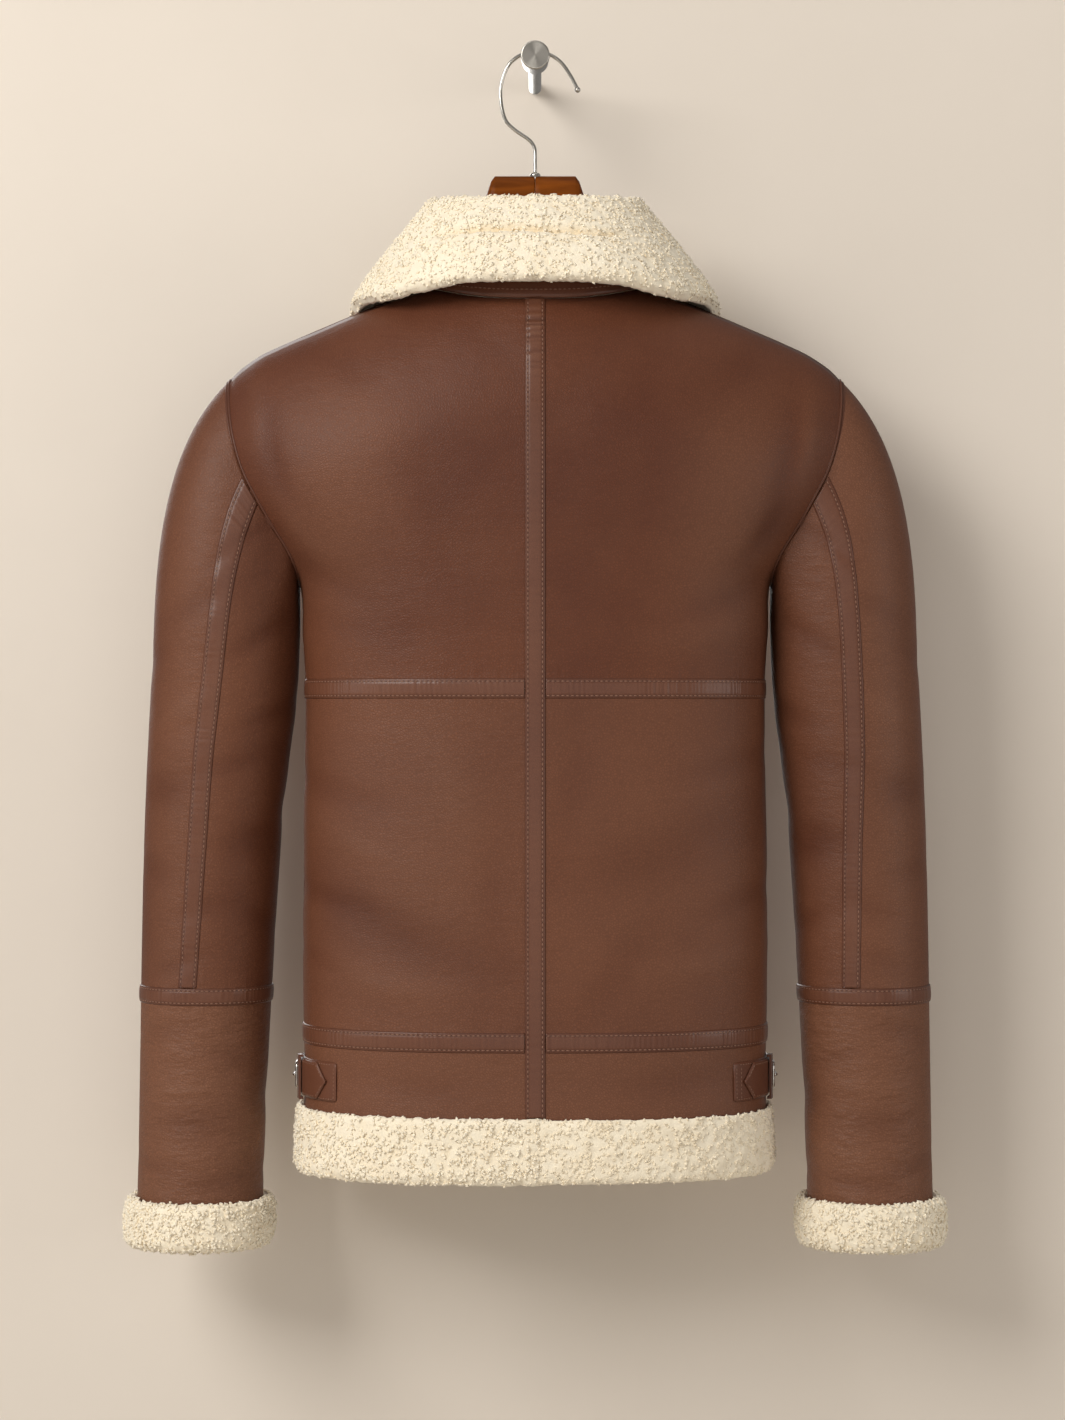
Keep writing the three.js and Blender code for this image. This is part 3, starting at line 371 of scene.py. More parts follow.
def leather_group():
    """Node group for oiled leather. Colour wanders between a dark and a light
    tone in soft clouds, is darkened in hollows as painted shade and lightened on
    ridges as a painted highlight, and lightens further with the mark tone, which
    carries painted sheen as well as lighter tone. Height adds pebbled grain,
    fine creases and gathers that fade away from seams."""
    group = bpy.data.node_groups.new("oiled_leather", "ShaderNodeTree")
    for word, way, kind in (("Dark", "INPUT", "Color"), ("Light", "INPUT", "Color"),
                            ("Grain", "INPUT", "Float"), ("Colour", "OUTPUT", "Color"),
                            ("Roughness", "OUTPUT", "Float"), ("Height", "OUTPUT", "Float")):
        group.interface.new_socket(name=word, in_out=way, socket_type=f"NodeSocket{kind}")
    enter, leave = (group.nodes.new(f"NodeGroup{way}") for way in ("Input", "Output"))
    coords = add(group, "TexCoord").outputs["Object"]

    def noise(scale, detail, stretch=None, rough=0.55):
        place = coords
        if stretch:
            place = add(group, "Mapping", {"Vector": coords, "Scale": stretch}).outputs["Vector"]
        return add(group, "TexNoise", {"Vector": place, "Scale": scale, "Detail": detail,
                                       "Roughness": rough}).outputs["Fac"]

    def mark(word):
        return add(group, "Attribute", attribute_name=word).outputs["Fac"]

    def maths(kind, *values, clamp=False):
        return add(group, "Math", dict(enumerate(values)), operation=kind,
                   use_clamp=clamp).outputs["Value"]

    def mixed(factor, a, b):
        return add(group, "Mix", {"Factor": factor, "A": a, "B": b},
                   data_type="RGBA").outputs["Result"]

    clouds = maths("MULTIPLY_ADD", noise(7, 5), 1.7, -0.35, clamp=True)
    colour = mixed(clouds, enter.outputs["Dark"], enter.outputs["Light"])
    # Painted light from the folds: ridges are lightened as a painted highlight and hollows (sunk)
    # are darkened as painted shade; tone adds painted sheen and lighter tone
    relief = maths("MULTIPLY", mark("fold"), 0.1)
    ridge_light_and_tone = maths("ADD", relief, mark("tone"), clamp=True)
    sunk = maths("MULTIPLY", relief, -1.0, clamp=True)
    colour = mixed(ridge_light_and_tone, colour, (0.27, 0.125, 0.07, 1))
    colour = mixed(sunk, colour, (0.045, 0.016, 0.009, 1))
    cells = add(group, "TexVoronoi", {"Vector": coords, "Scale": enter.outputs["Grain"]},
                feature="DISTANCE_TO_EDGE")
    pebble = maths("MINIMUM", maths("MULTIPLY", cells.outputs["Distance"], 3.2), 1.0)
    speck = maths("MULTIPLY", maths("SUBTRACT", 1.0, pebble), 0.35)
    colour = mixed(speck, colour, (0.05, 0.018, 0.01, 1))
    fine = noise(90, 6, rough=0.65)
    creases = noise(26, 5, (0.8, 0.8, 1.5), 0.6)
    height = maths("ADD", maths("MULTIPLY", pebble, 0.22), maths("MULTIPLY", fine, 0.3))
    height = maths("ADD", height, maths("MULTIPLY", creases, 0.5))
    for word, stretch in (("gather_up", (190, 60, 16)), ("gather_across", (16, 16, 190))):
        ripple = maths("MULTIPLY", noise(1, 3, stretch), mark(word))
        height = maths("ADD", height, maths("MULTIPLY", ripple, 2.6))
    crumpled = maths("MULTIPLY", noise(66, 4, (0.65, 0.65, 1.6), 0.6), mark("wrinkle"))
    height = maths("ADD", height, maths("MULTIPLY", crumpled, 2.4))
    roughness = maths("ADD", maths("MULTIPLY", noise(12, 4), 0.2), 0.38)
    fill(group, leave, {"Colour": colour, "Roughness": roughness, "Height": height})
    return group


def leather(name, dark, light, grain, depth, coat):
    """Leather material; grain is the pebbles in a metre and depth the height
    of its relief in millimetres."""
    material = plain(name, light, 0.45)
    tree = material.node_tree
    mix = add(tree, "Group", {"Dark": (*dark, 1), "Light": (*light, 1), "Grain": grain},
              node_tree=oiled).outputs
    bump = add(tree, "Bump", {"Height": mix["Height"], "Distance": depth / 1000, "Strength": 0.7})
    dress(material, {"Base Color": mix["Colour"], "Roughness": mix["Roughness"],
                     "Normal": bump.outputs["Normal"], "Specular IOR Level": 0.22,
                     "Coat Weight": coat, "Coat Roughness": 0.26})
    return material


def wool_material(name, deep, pale, scale, depth):
    """Wool whose hollows and roots are darker, as painted shade: mark "tip" goes
    from 0 there to 1 at the tips, and two sizes of noise break up colour and
    relief."""
    material = plain(name, pale, 0.95)
    tree = material.node_tree
    coords = add(tree, "TexCoord").outputs["Object"]
    patch, curl = (add(tree, "TexNoise", {"Vector": coords, "Scale": size, "Detail": detail})
                   for size, detail in ((45, 4), (scale, 5)))
    tip = add(tree, "Attribute", attribute_name="tip").outputs["Fac"]
    share = add(tree, "Math", {0: patch.outputs["Fac"], 1: 0.5, 2: tip},
                operation="MULTIPLY_ADD", use_clamp=True).outputs["Value"]
    mix = add(tree, "Mix", {"Factor": share, "A": (*deep, 1), "B": (*pale, 1)}, data_type="RGBA")
    bump = add(tree, "Bump", {"Height": curl.outputs["Fac"], "Distance": depth / 1000})
    dress(material, {"Base Color": mix.outputs["Result"], "Normal": bump.outputs["Normal"],
                     "Sheen Weight": 0.25, "Sheen Roughness": 0.6})
    return material


oiled = leather_group()
panel_leather = leather("panel_leather", (0.094, 0.026, 0.0125), (0.175, 0.06, 0.0275),
                        520, 0.8, 0.0)
cropped_wool = wool_material("cropped_wool", (0.66, 0.52, 0.32), (0.88, 0.78, 0.58), 420, 1.2)
PLAIN = {"fold": 0.0, "tone": 0.0, "gather_up": 0.0, "gather_across": 0.0}


def panel(name, site, node, round_tube=False, **gathers):
    """Shearling panel: the leather's face on a grid, and a Solidify wall of
    the hide's thickness whose inner face is cropped wool."""
    point, normal, fold = site
    faces = grid_faces(*point.shape[:2], wrap=round_tube)
    flat = point.reshape(-1, 3)
    turn = np.cross(flat[faces[:, 1]] - flat[faces[:, 0]], flat[faces[:, 3]] - flat[faces[:, 0]])
    if (turn * normal.reshape(-1, 3)[faces[:, 0]]).sum() < 0:
        faces = faces[:, ::-1]
    marks = PLAIN | {"fold": fold, "wrinkle": 0.4, "tip": 0.6} | gathers
    obj = piece(name, make_mesh(name, point, faces, marks),
                [panel_leather, cropped_wool], [node])
    wall = obj.modifiers.new("hide", "SOLIDIFY")
    wall.thickness = HIDE / 1000
    wall.offset = -1
    wall.material_offset = 1


def fade(distance, reach=13.0):
    return np.exp(-np.abs(distance) / reach)


CELL = 4.7  # size of a panel's grid cell at the middle of the back
NECK_SHARE = np.arcsin(NECK_X / SHOULDER_X) * 2 / np.pi
UPPER_SHARES = np.r_[np.linspace(0, NECK_SHARE, 18), np.linspace(NECK_SHARE, 1, 54)[1:]][None]
LOWER_SHARES = np.linspace(0, 1, 56)[None]


def heights(low, high):
    return np.linspace(low, high, int((high - low) / CELL) + 2)[:, None]


for side, word in SIDES:
    low = WAIST_SEAM_Z + SEAM / 2
    site = upper_site(-1, side, UPPER_SHARES, heights(low, SHOULDER_Z), low, SEAM / 2)
    x, z = site[0][..., 0], site[0][..., 2]
    # Painted sheen: lighter patches over the shoulder blades, stronger on the right, stand in for
    # soft highlights
    sheen_and_tone = (0.32 + 0.06 * side) * bell(np.abs(x), 152, 50) * bell(z, -365, 105)
    panel(f"panel_back_upper_{word}", site, f"back_upper_{word}", tone=sheen_and_tone,
          gather_up=fade(z - WAIST_SEAM_Z), gather_across=fade(x))
    for part, low, high in (("lower", HEM_SEAM_Z, WAIST_SEAM_Z), ("hem", PANEL_END_Z, HEM_SEAM_Z)):
        rows = heights(low + SEAM / 2, high - SEAM / 2)
        site = lower_site(-1, side, LOWER_SHARES, rows, SEAM / 2)
        x, z = site[0][..., 0], site[0][..., 2]
        # Painted sheen low on the back beside the middle, over a lighter tone for the lower and
        # hem panels
        sheen_and_tone = 0.14 * bell(np.abs(x), 90, 70) * bell(z, -620, 130)
        sheen_and_tone += 0.2 if part == "lower" else 0.36
        panel(f"panel_back_{part}_{word}", site, f"back_{part}_{word}", tone=sheen_and_tone,
              gather_up=np.maximum(fade(z - low), fade(z - high)), gather_across=fade(x))
    site = upper_site(1, side, UPPER_SHARES, heights(PANEL_END_Z, SHOULDER_Z), PANEL_END_Z,
                      ZIP_HALF + SEAM)
    panel(f"panel_front_{word}", site, f"front_{word}", tone=0.04,
          gather_across=fade(site[0][..., 0], 9))

# Sleeves: a back upper and an under panel on each, over a head that leaves
# the armhole on a curve and turns into a round tube, and one plain tube for
# the forearm. Their seams are under strips.
SLEEVE = [  # height, middle, half width, half depth
    (-380, 236, 56.5, 56), (-436, 237.1, 56.2, 56), (-491, 239.7, 56.3, 54),
    (-538, 244, 54.5, 53), (-607, 248.5, 52.5, 51), (-684, 251.8, 50.8, 49.5),
    (-761, 254.5, 49.3, 48.5), (-838, 256.8, 48.3, 48), (-910, 258.8, 48.2, 48),
]
SLEEVE_SEAM = {  # height, turn of the back seam from the outer edge, degrees
    "left": [(-330, 96), (-384, 92), (-491, 84), (-607, 82), (-720, 78)],
    "right": [(-330, 96), (-384, 92), (-491, 90), (-607, 100), (-720, 107)],
}
SLEEVE_FOLDS = [  # turn, height, half length in degrees, half width, depth, slope
    (48, -560, 26, 14, 1.6, 0), (135, -600, 30, 15, 1.8, 0), (200, -575, 34, 14, 2.0, 0),
    (300, -590, 32, 14, 1.8, 0), (85, -812, 32, 12, 1.3, 0), (170, -795, 30, 12, 1.4, 0),
    (70, -420, 30, 10, 1.1, 0.35), (120, -446, 26, 9, 1.3, 0.5), (150, -500, 34, 9, 1.2, 0.3),
    (60, -500, 24, 9, -0.9, 0.4), (110, -540, 28, 8, 1.0, 0.2), (40, -620, 26, 9, 0.9, -0.2),
    (90, -650, 30, 10, 0.9, 0.25), (150, -660, 34, 9, 1.0, -0.3), (240, -500, 34, 12, 1.4, -0.3),
    (270, -640, 30, 10, 1.2, 0.3), (330, -520, 28, 11, 1.0, -0.2), (20, -460, 26, 10, 0.8, 0.3),
    (60, -742, 34, 7, 0.9, 0.15), (120, -762, 30, 6, 0.8, -0.2), (80, -786, 40, 6, -0.7, 0.1),
    (50, -846, 36, 7, 1.0, -0.15), (110, -858, 34, 6, 1.1, 0.1), (140, -832, 28, 6, -0.8, 0.2),
    (230, -770, 34, 9, 1.1, 0.2), (300, -820, 36, 9, 1.0, -0.2), (200, -850, 30, 7, 0.9, 0.1),
    (100, -372, 22, 9, 1.2, 0.9), (250, -400, 26, 11, 1.4, -0.6), (75, -690, 26, 7, 0.8, 0.3),
]
HEAD_TOP_Z, HEAD_END_Z, FOREARM_SEAM_Z, FOREARM_END_Z = -330.0, -436.0, -716.0, -881.0
TUBE_STEP = 100  # millimetres for a run of 1
FRONT_SEAM_TURN = 262.0
STRIP_TURN = 8.2  # half a strip's width, in degrees of the sleeve


def armhole_point(turn):
    """Armhole ring: height goes by cosine from the armpit to the shoulder."""
    z = ARMPIT_Z + (SHOULDER_Z - ARMPIT_Z) * (1 + np.cos(turn)) / 2
    x = along(ARMHOLE, 1, z)
    y = np.where(np.sin(turn) >= 0, body_y(-1, x, z), body_y(1, x, z))
    return np.stack([x + SEAM, y, z], -1)


def tube_point(turn, z):
    x = along(SLEEVE, 1, z) + along(SLEEVE, 2, z) * np.cos(turn)
    return np.stack([x, -along(SLEEVE, 3, z) * np.sin(turn), z + 0 * turn], -1)


def sleeve_point(turn, run):
    """Right sleeve at a turn in radians. run 0 to 1 is the head, a cubic from
    the armhole ring to the tube, and past 1 the tube, a TUBE_STEP for each 1."""
    turn, run = np.broadcast_arrays(turn, run)
    start, end = armhole_point(turn), tube_point(turn, HEAD_END_Z + 0 * turn)
    reach = np.linalg.norm(end - start, axis=-1, keepdims=True)
    out = (1 + np.cos(turn)) / 2
    leave = np.stack([0.72 * out, -0.24 * np.sin(turn) * out, -0.69 - 0.31 * (1 - out)], -1)
    arrive = unit(tube_point(turn, HEAD_END_Z - 1 + 0 * turn) - end)
    t = np.minimum(run, 1.01)[..., None]
    head = (start * (2 * t**3 - 3 * t**2 + 1) + leave * reach * (t**3 - 2 * t**2 + t)
            + end * (3 * t**2 - 2 * t**3) + arrive * reach * (t**3 - t**2))
    tube = tube_point(turn, HEAD_END_Z - (run - 1) * TUBE_STEP)
    return np.where(run[..., None] <= 1, head, tube)


def sleeve_site(sign, degrees, run):
    """Sleeve's face, its outward directions and the depth of its folds."""
    degrees, run = np.broadcast_arrays(np.asarray(degrees, float), np.asarray(run, float))
    turn, e = np.radians(degrees), 1e-3
    point = sleeve_point(turn, run)
    around = sleeve_point(turn + e, run + e) - sleeve_point(turn - e, run + e)
    normal = unit(np.cross(around, sleeve_point(turn, run + 2 * e) - point))
    fold = np.zeros(turn.shape)
    for at_turn, at_z, long, wide, deep, slope in SLEEVE_FOLDS:
        aside = (degrees - at_turn + 180) % 360 - 180
        up = point[..., 2] - at_z - slope * aside
        fold -= deep * bell(aside, 0, long) * bell(up, 0, wide)
    point = point + normal * fold[..., None]
    return point * (sign, 1, 1), normal * (sign, 1, 1), fold


def run_at(z):
    return 1 + (HEAD_END_Z - z) / TUBE_STEP


def seam_turn(word, run):
    z = np.where(run <= 1, HEAD_TOP_Z + (HEAD_END_Z - HEAD_TOP_Z) * run,
                 HEAD_END_Z - (run - 1) * TUBE_STEP)
    return along(SLEEVE_SEAM[word], 1, z)


TUBE_RUN = np.linspace(1, run_at(FOREARM_SEAM_Z + SEAM / 2), 60)
SLEEVE_RUN = np.r_[np.linspace(0, 1, 40), TUBE_RUN[1:]][:, None]
SLEEVE_HALF = 52  # a sleeve's usual half width
for side, word in SIDES:
    back, half_seam = seam_turn(word, SLEEVE_RUN), 0.22  # degrees
    for part, first, last in (("upper", FRONT_SEAM_TURN - 360 + half_seam, back - half_seam),
                              ("under", back + half_seam, FRONT_SEAM_TURN - half_seam)):
        share = np.linspace(0, 1, 38)[None]
        turn = first + (last - first) * share
        site = sleeve_site(side, turn, SLEEVE_RUN)
        beyond = 1 - share if part == "upper" else share
        to_seam = np.radians(last - first) * SLEEVE_HALF * beyond
        # Painted sheen down the outer sleeve over a lighter tone, a little more on the right
        # sleeve as painted light
        sheen_and_tone = 0.22 * bell(turn, 62, 40) + 0.15 + 0.05 * side
        panel(f"panel_sleeve_{part}_{word}", site, f"sleeve_{part}_{word}", tone=sheen_and_tone,
              wrinkle=0.8, gather_up=fade(site[0][..., 2] - FOREARM_SEAM_Z),
              gather_across=0.5 * fade(to_seam))
    rows = run_at(np.linspace(FOREARM_END_Z, FOREARM_SEAM_Z - SEAM / 2, 50))[:, None]
    site = sleeve_site(side, circle(78, 360)[None], rows)
    z = site[0][..., 2]
    panel(f"panel_forearm_{word}", site, f"forearm_{word}", round_tube=True, tone=0.55,
          wrinkle=2.0, gather_up=np.maximum(fade(z - FOREARM_SEAM_Z, 16),
                                            0.8 * fade(z - FOREARM_END_Z, 22)))

# Strips: 15 mm bands of smoother leather sewn over the seams with a row of
# stitches near each edge. The thread pulls them into small gathers, whose
# crests shine and carry a painted highlight, with painted shade along the
# stitch furrows and the edges. The centre strip lies over the ends of the others.
TAPE, TAPE_HALF, LAYER = 1.0, 7.5, 0.1
STITCH_ROW = 0.72  # share of the half width where the stitches lie
strip_leather = leather("strip_leather", (0.1, 0.03, 0.0155), (0.18, 0.067, 0.034), 900, 0.3, 0.32)
thread = plain("thread", (0.26, 0.13, 0.08), 0.6)


def gathers(length, pitch, seed):
    """Uneven ripples, -1 to 1: a cosine whose pitch and height wander."""
    dice = np.random.default_rng(seed)
    count = int(length.max() / pitch) + 4
    knots = np.cumsum(dice.uniform(0.45, 1.55, count)) * pitch - pitch
    phase = np.interp(length, knots, np.pi * 2 * np.arange(count))
    return np.interp(length, knots, dice.uniform(0.15, 1, count)) * np.cos(phase)


def fan(points, order):
    """Faces from a middle point, added at the end, to a closed row of points."""
    middle = len(points)
    return np.vstack([points, points[order].mean(0)]), [
        (int(a), int(b), middle) for a, b in zip(order, np.roll(order, -1))]


def bar_mesh(name, rings, ring=False, marks=None):
    """Closed solid from equal closed rings of points carried along a path, on
    itself or with a flat fan at each end, turned to face outwards."""
    rows, columns = rings.shape[:2]
    faces = grid_faces(rows, columns, wrap=True, ring=ring).tolist()
    points = rings.reshape(-1, 3)
    if not ring:
        points, first = fan(points, np.arange(columns)[::-1])
        points, last = fan(points, np.arange(columns) + (rows - 1) * columns)
        faces += first + last
    corner = points[grid_faces(rows, columns, wrap=True, ring=ring)]
    one, two = corner[:, 1] - corner[:, 0], corner[:, 2] - corner[:, 0]
    if (np.cross(one, two) * (corner[:, 0] - points.mean(0))).sum() < 0:
        faces = [tuple(reversed(face)) for face in faces]
    at_middles = (0, len(points) - rows * columns)
    return make_mesh(name, points, faces, {
        word: np.pad(np.broadcast_to(value, (rows, columns)).ravel(), at_middles, mode="edge")
        for word, value in (marks or {}).items()})


def solid(name, rings, material, nodes=(), ring=False, marks=None):
    """Piece from closed rings, all of one material."""
    return piece(name, bar_mesh(name, rings, ring, marks), [material], nodes)


def sewn(name, rings, node, point, ring=False, held="hung", **marks):
    """Soft piece of strip leather; point, a grid of points, is not used."""
    obj = solid(name, rings, strip_leather, [node], ring, PLAIN | marks)


def band_rings(site, low, thick, ripple):
    """Section of a sewn band at each step: a low dome over its width, edges
    turned under, and a flat back. ripple lifts the middle in gathers."""
    point, normal, _ = site
    across = np.linspace(-1, 1, point.shape[1])[None]
    dome = 0.75 * (1 - np.abs(across) ** 14) ** 0.5 + 0.25 * (1 - across**2)
    furrow = 0.42 * bell(np.abs(across), STITCH_ROW, 0.09)
    lift = low + thick * dome - furrow + ripple * (1 - across**2) ** 0.5
    top = point + normal * lift[..., None]
    under = np.linspace(point.shape[1] - 1, 0, 4).round().astype(int)
    back = (point + normal * (low - 0.3))[:, under]
    return np.concatenate([top, back], 1), lift


def strip(name, site, node, low, pitch, swell, seed, ring=False):
    """Band on a grid of sites, steps by columns across."""
    point = site[0]
    length = length_along(point[:, point.shape[1] // 2])[:, None]
    ripple = swell * (gathers(length, pitch, seed) + 0.5 * gathers(length, 2.3 * pitch, seed + 1))
    ripple = ripple * (0.6 + 0.4 * gathers(length, 48, seed + 2))  # calm and gathered stretches
    if ring:
        ripple = ripple * np.minimum(1, np.minimum(length, length[-1] - length) / 9)
    rings, lift = band_rings(site, low, TAPE, ripple)
    across = np.abs(np.linspace(-1, 1, point.shape[1]))[None]
    # Painted highlight on the gathers' crests, painted shade along the stitch furrows and the
    # edges
    crest_light_furrow_shade = 4 * ripple - 5 * bell(across, STITCH_ROW, 0.09) - 4 * (across > 0.95)
    beyond = ((0, 0), (0, rings.shape[1] - lift.shape[1]))
    grid = np.concatenate([point, point[:1]]) if ring else point
    sewn(name, rings, node, grid, ring, fold=np.pad(crest_light_furrow_shade, beyond), tone=0.1)


def stitches(name, rows, pitch=3.6, long=2.4, thick=0.42):
    """One mesh of all stitches on rows of (points, outward directions): each
    is a short bar of three square rings along the row, half sunk."""
    parts, faces, start = [], [], 0
    for point, normal in rows:
        length = length_along(point)
        at = np.arange(pitch / 2, length[-1] - pitch / 2, pitch)

        def walk(place, values):
            return np.stack([np.interp(place, length, column) for column in values.T], -1)

        centre, out = walk(at, point), unit(walk(at, normal))
        ahead = unit(walk(at + 0.5, point) - centre)
        aside = np.cross(out, ahead)
        for along_row, width in ((-0.5, 0.35), (0, 1.0), (0.5, 0.35)):
            for a, b in ((1, 0), (0, 1), (-1, 0), (0, -1)):
                parts.append(centre + ahead * along_row * long
                             + (aside * a * 1.2 + out * b) * thick * width)
        count = len(at)
        corner = np.vstack([grid_faces(3, 4, wrap=True), (3, 2, 1, 0), (8, 9, 10, 11)])
        faces.append((start + corner * count + np.arange(count)[:, None, None]).reshape(-1, 4))
        start += 12 * count
    mesh = make_mesh(name, np.concatenate(parts), np.concatenate(faces))
    piece(name, mesh, [thread])


def edge_rows(site, low):
    """Rows for stitches near both edges of a band's grid of sites."""
    point, normal, _ = site
    across = np.linspace(-1, 1, point.shape[1])
    columns = [np.argmin(np.abs(across - place)) for place in (-STITCH_ROW, STITCH_ROW)]
    return [(point[:, j] + normal[:, j] * (low + TAPE * 0.55), normal[:, j]) for j in columns]


across = np.linspace(-1, 1, 15)[None]
body_rows = []
for side, word in SIDES:
    for k, (part, middle) in enumerate((("waist", WAIST_SEAM_Z), ("hem", HEM_SEAM_Z))):
        share = np.linspace(0, 1, 330)[:, None]
        site = lower_site(-1, side, share, middle + across * TAPE_HALF, TAPE_HALF + SEAM)
        strip(f"strip_{part}_{word}", site, f"{part}_strip_{word}", LAYER, 3.4, 0.22,
              10 + 4 * k + side)
        body_rows += edge_rows(site, LAYER)
top_z = NECK_Z - BACK_NECK_DROP - 0.6
steps_down = np.linspace(HEM_SEAM_Z - 55, top_z, 430)[:, None]
site = body_site(-1, across * TAPE_HALF, steps_down)
puckered = 0.1 + 1.1 * bell(steps_down, top_z - 30, 22)  # just under the collar
strip("strip_centre_back", site, "centre_back_strip", LAYER + 0.4, 5.2, puckered, 31)
body_rows += edge_rows(site, LAYER + 0.4)
for side in (-1, 1):  # topstitching down both sides of the zip
    down = np.linspace(PANEL_END_Z + 8, -290, 200)
    for x in (ZIP_HALF + 4, ZIP_HALF + 11):
        point, normal, _ = body_site(1, side * x + 0 * down, down)
        body_rows.append((point + normal * 0.15, normal))
stitches("stitching_body", body_rows)

for side, word in SIDES:
    run = np.linspace(0.02, run_at(FOREARM_SEAM_Z + 7.2), 340)[:, None]
    site = sleeve_site(side, seam_turn(word, run) + across * STRIP_TURN, run)
    strip(f"strip_sleeve_{word}", site, f"sleeve_strip_{word}", 0.15, 4.6, 0.14, 50 + side)
    rows = edge_rows(site, 0.15)
    site = sleeve_site(side, circle(360, 360)[:, None], run_at(FOREARM_SEAM_Z + across * 6.5))
    strip(f"strip_forearm_{word}", site, f"forearm_strip_{word}", 0.4, 3.6, 0.22, 60 + side,
          ring=True)
    rows += [(np.vstack([p, p[:1]]), np.vstack([n, n[:1]])) for p, n in edge_rows(site, 0.4)]
    stitches(f"stitching_sleeve_{word}", rows)

# Armhole piping: both panels' edges are rolled over a thin cord where the
# sleeve is set in, so that a double raised line runs round each armhole.
piping_leather = leather("piping_leather", (0.085, 0.026, 0.014), (0.15, 0.055, 0.029),
                         1100, 0.25, 0.1)


def rod_rings(path, radius, out, sides=10, ring=True):
    """Round section on a path: radius (cos a out + sin a aside)."""
    ahead = unit(np.roll(path, -1, 0) - np.roll(path, 1, 0) if ring else np.gradient(path, axis=0))
    aside = unit(np.cross(out, ahead))
    out = unit(np.cross(ahead, aside))
    a = circle(sides)[None, :, None]
    radius = np.broadcast_to(radius, len(path))[:, None, None]
    return path[:, None] + radius * (np.cos(a) * out[:, None] + np.sin(a) * aside[:, None])


for side, word in SIDES:
    ring = armhole_point(circle(300))
    x, y, z = ring.T
    out = np.where((y < 0)[:, None], body_normal(-1, x, y, z), body_normal(1, x, y, z))
    ahead = np.roll(ring, -1, 0) - np.roll(ring, 1, 0)
    aside = unit(np.cross(out, ahead))
    aside = aside * np.where(aside[:, :1] < 0, -1, 1)
    for part, shift, radius in (("inner", -1.2, 1.15), ("outer", 1.4, 1.25)):
        path = (ring + aside * shift - out * 0.4) * (side, 1, 1)
        solid(f"piping_{part}_{word}", rod_rings(path, radius, out * (side, 1, 1)),
              piping_leather, ring=True, marks=PLAIN | {"tone": 0.03})

# Wool bands: long-wool sheepskin, turned over the hem and round each cuff
# with its leather hidden. The pile stands in curled tufts, so each band is a
# tufted surface with small separate curls on it.
HEM_TOP_Z, HEM_END_Z, CUFF_TOP_Z, CUFF_END_Z = -801.0, -849.0, -873.0, -908.0
long_wool = wool_material("long_wool", (0.83, 0.68, 0.455), (0.95, 0.855, 0.68), 700, 0.5)


def tufts(point, cell, seed):
    """Rounded tufts, 0 between them to 1 on top: 1 less the squared distance
    to the nearest of one random centre in each cube of a grid."""
    scaled = point / cell
    cube = np.floor(scaled)
    nearest = np.full(point.shape[:-1], 9.0)
    for step in np.ndindex(3, 3, 3):
        corner = cube + np.array(step) - 1
        mixed = np.sin(corner @ np.array([127.1, 311.7, 74.7]) + seed)[..., None]
        centre = corner + np.mod(mixed * np.array([43758.5, 22578.1, 19642.3]), 1)
        nearest = np.minimum(nearest, ((scaled - centre) ** 2).sum(-1))
    return np.clip(1 - nearest, 0, 1)


def round_section(corners, count):
    """Closed smooth outline through corners, on Catmull-Rom cubics whose
    points lie at even spacing. corners run along the second-last axis."""
    closed = np.concatenate([corners[..., -1:, :], corners, corners[..., :2, :]], -2)
    n = corners.shape[-2]
    side = np.linalg.norm(np.diff(closed[..., 1:n + 2, :], axis=-2), axis=-1)
    length = np.r_[0, np.cumsum(side.reshape(-1, n).mean(0))]
    at = np.interp(np.linspace(0, length[-1], count + 1)[:-1], length, np.arange(n + 1))
    i = np.minimum(at.astype(int), n - 1)
    t = (at - i)[:, None]
    a, b, c, d = (closed[..., i + k, :] for k in range(4))
    return 0.5 * (2 * b + (c - a) * t + (2 * a - 5 * b + 4 * c - d) * t**2
                  + (3 * b - a - 3 * c + d) * t**3)


def outward(rings, ring):
    """Directions out of a carried section, from the cross product of the
    steps round it and along it."""
    around = np.roll(rings, -1, 1) - np.roll(rings, 1, 1)
    ahead = np.roll(rings, -1, 0) - np.roll(rings, 1, 0) if ring else np.gradient(rings, axis=0)
    out = unit(np.cross(around, ahead))
    away = rings - rings.mean(1, keepdims=True)
    return out * (1 if (out * away).sum() > 0 else -1)


def pile(rings, ring, seed, high):
    """Tufted surface of a wool band: rings moved out by two sizes of tufts,
    and in by their mean. Gives the points and the height of the tufts."""
    out = outward(rings, ring)
    large, small = tufts(rings, 7.5, seed), tufts(rings, 3.2, seed + 7)
    tall = large * 0.6 + small * 0.4
    lift = high * (tall - 0.52)
    if not ring:  # the ends of the band stay where they are
        place = np.arange(len(rings))[:, None]
        lift = lift * np.minimum(1, np.minimum(place, len(rings) - 1 - place) / 4)
    return rings + out * lift[..., None], out, tall


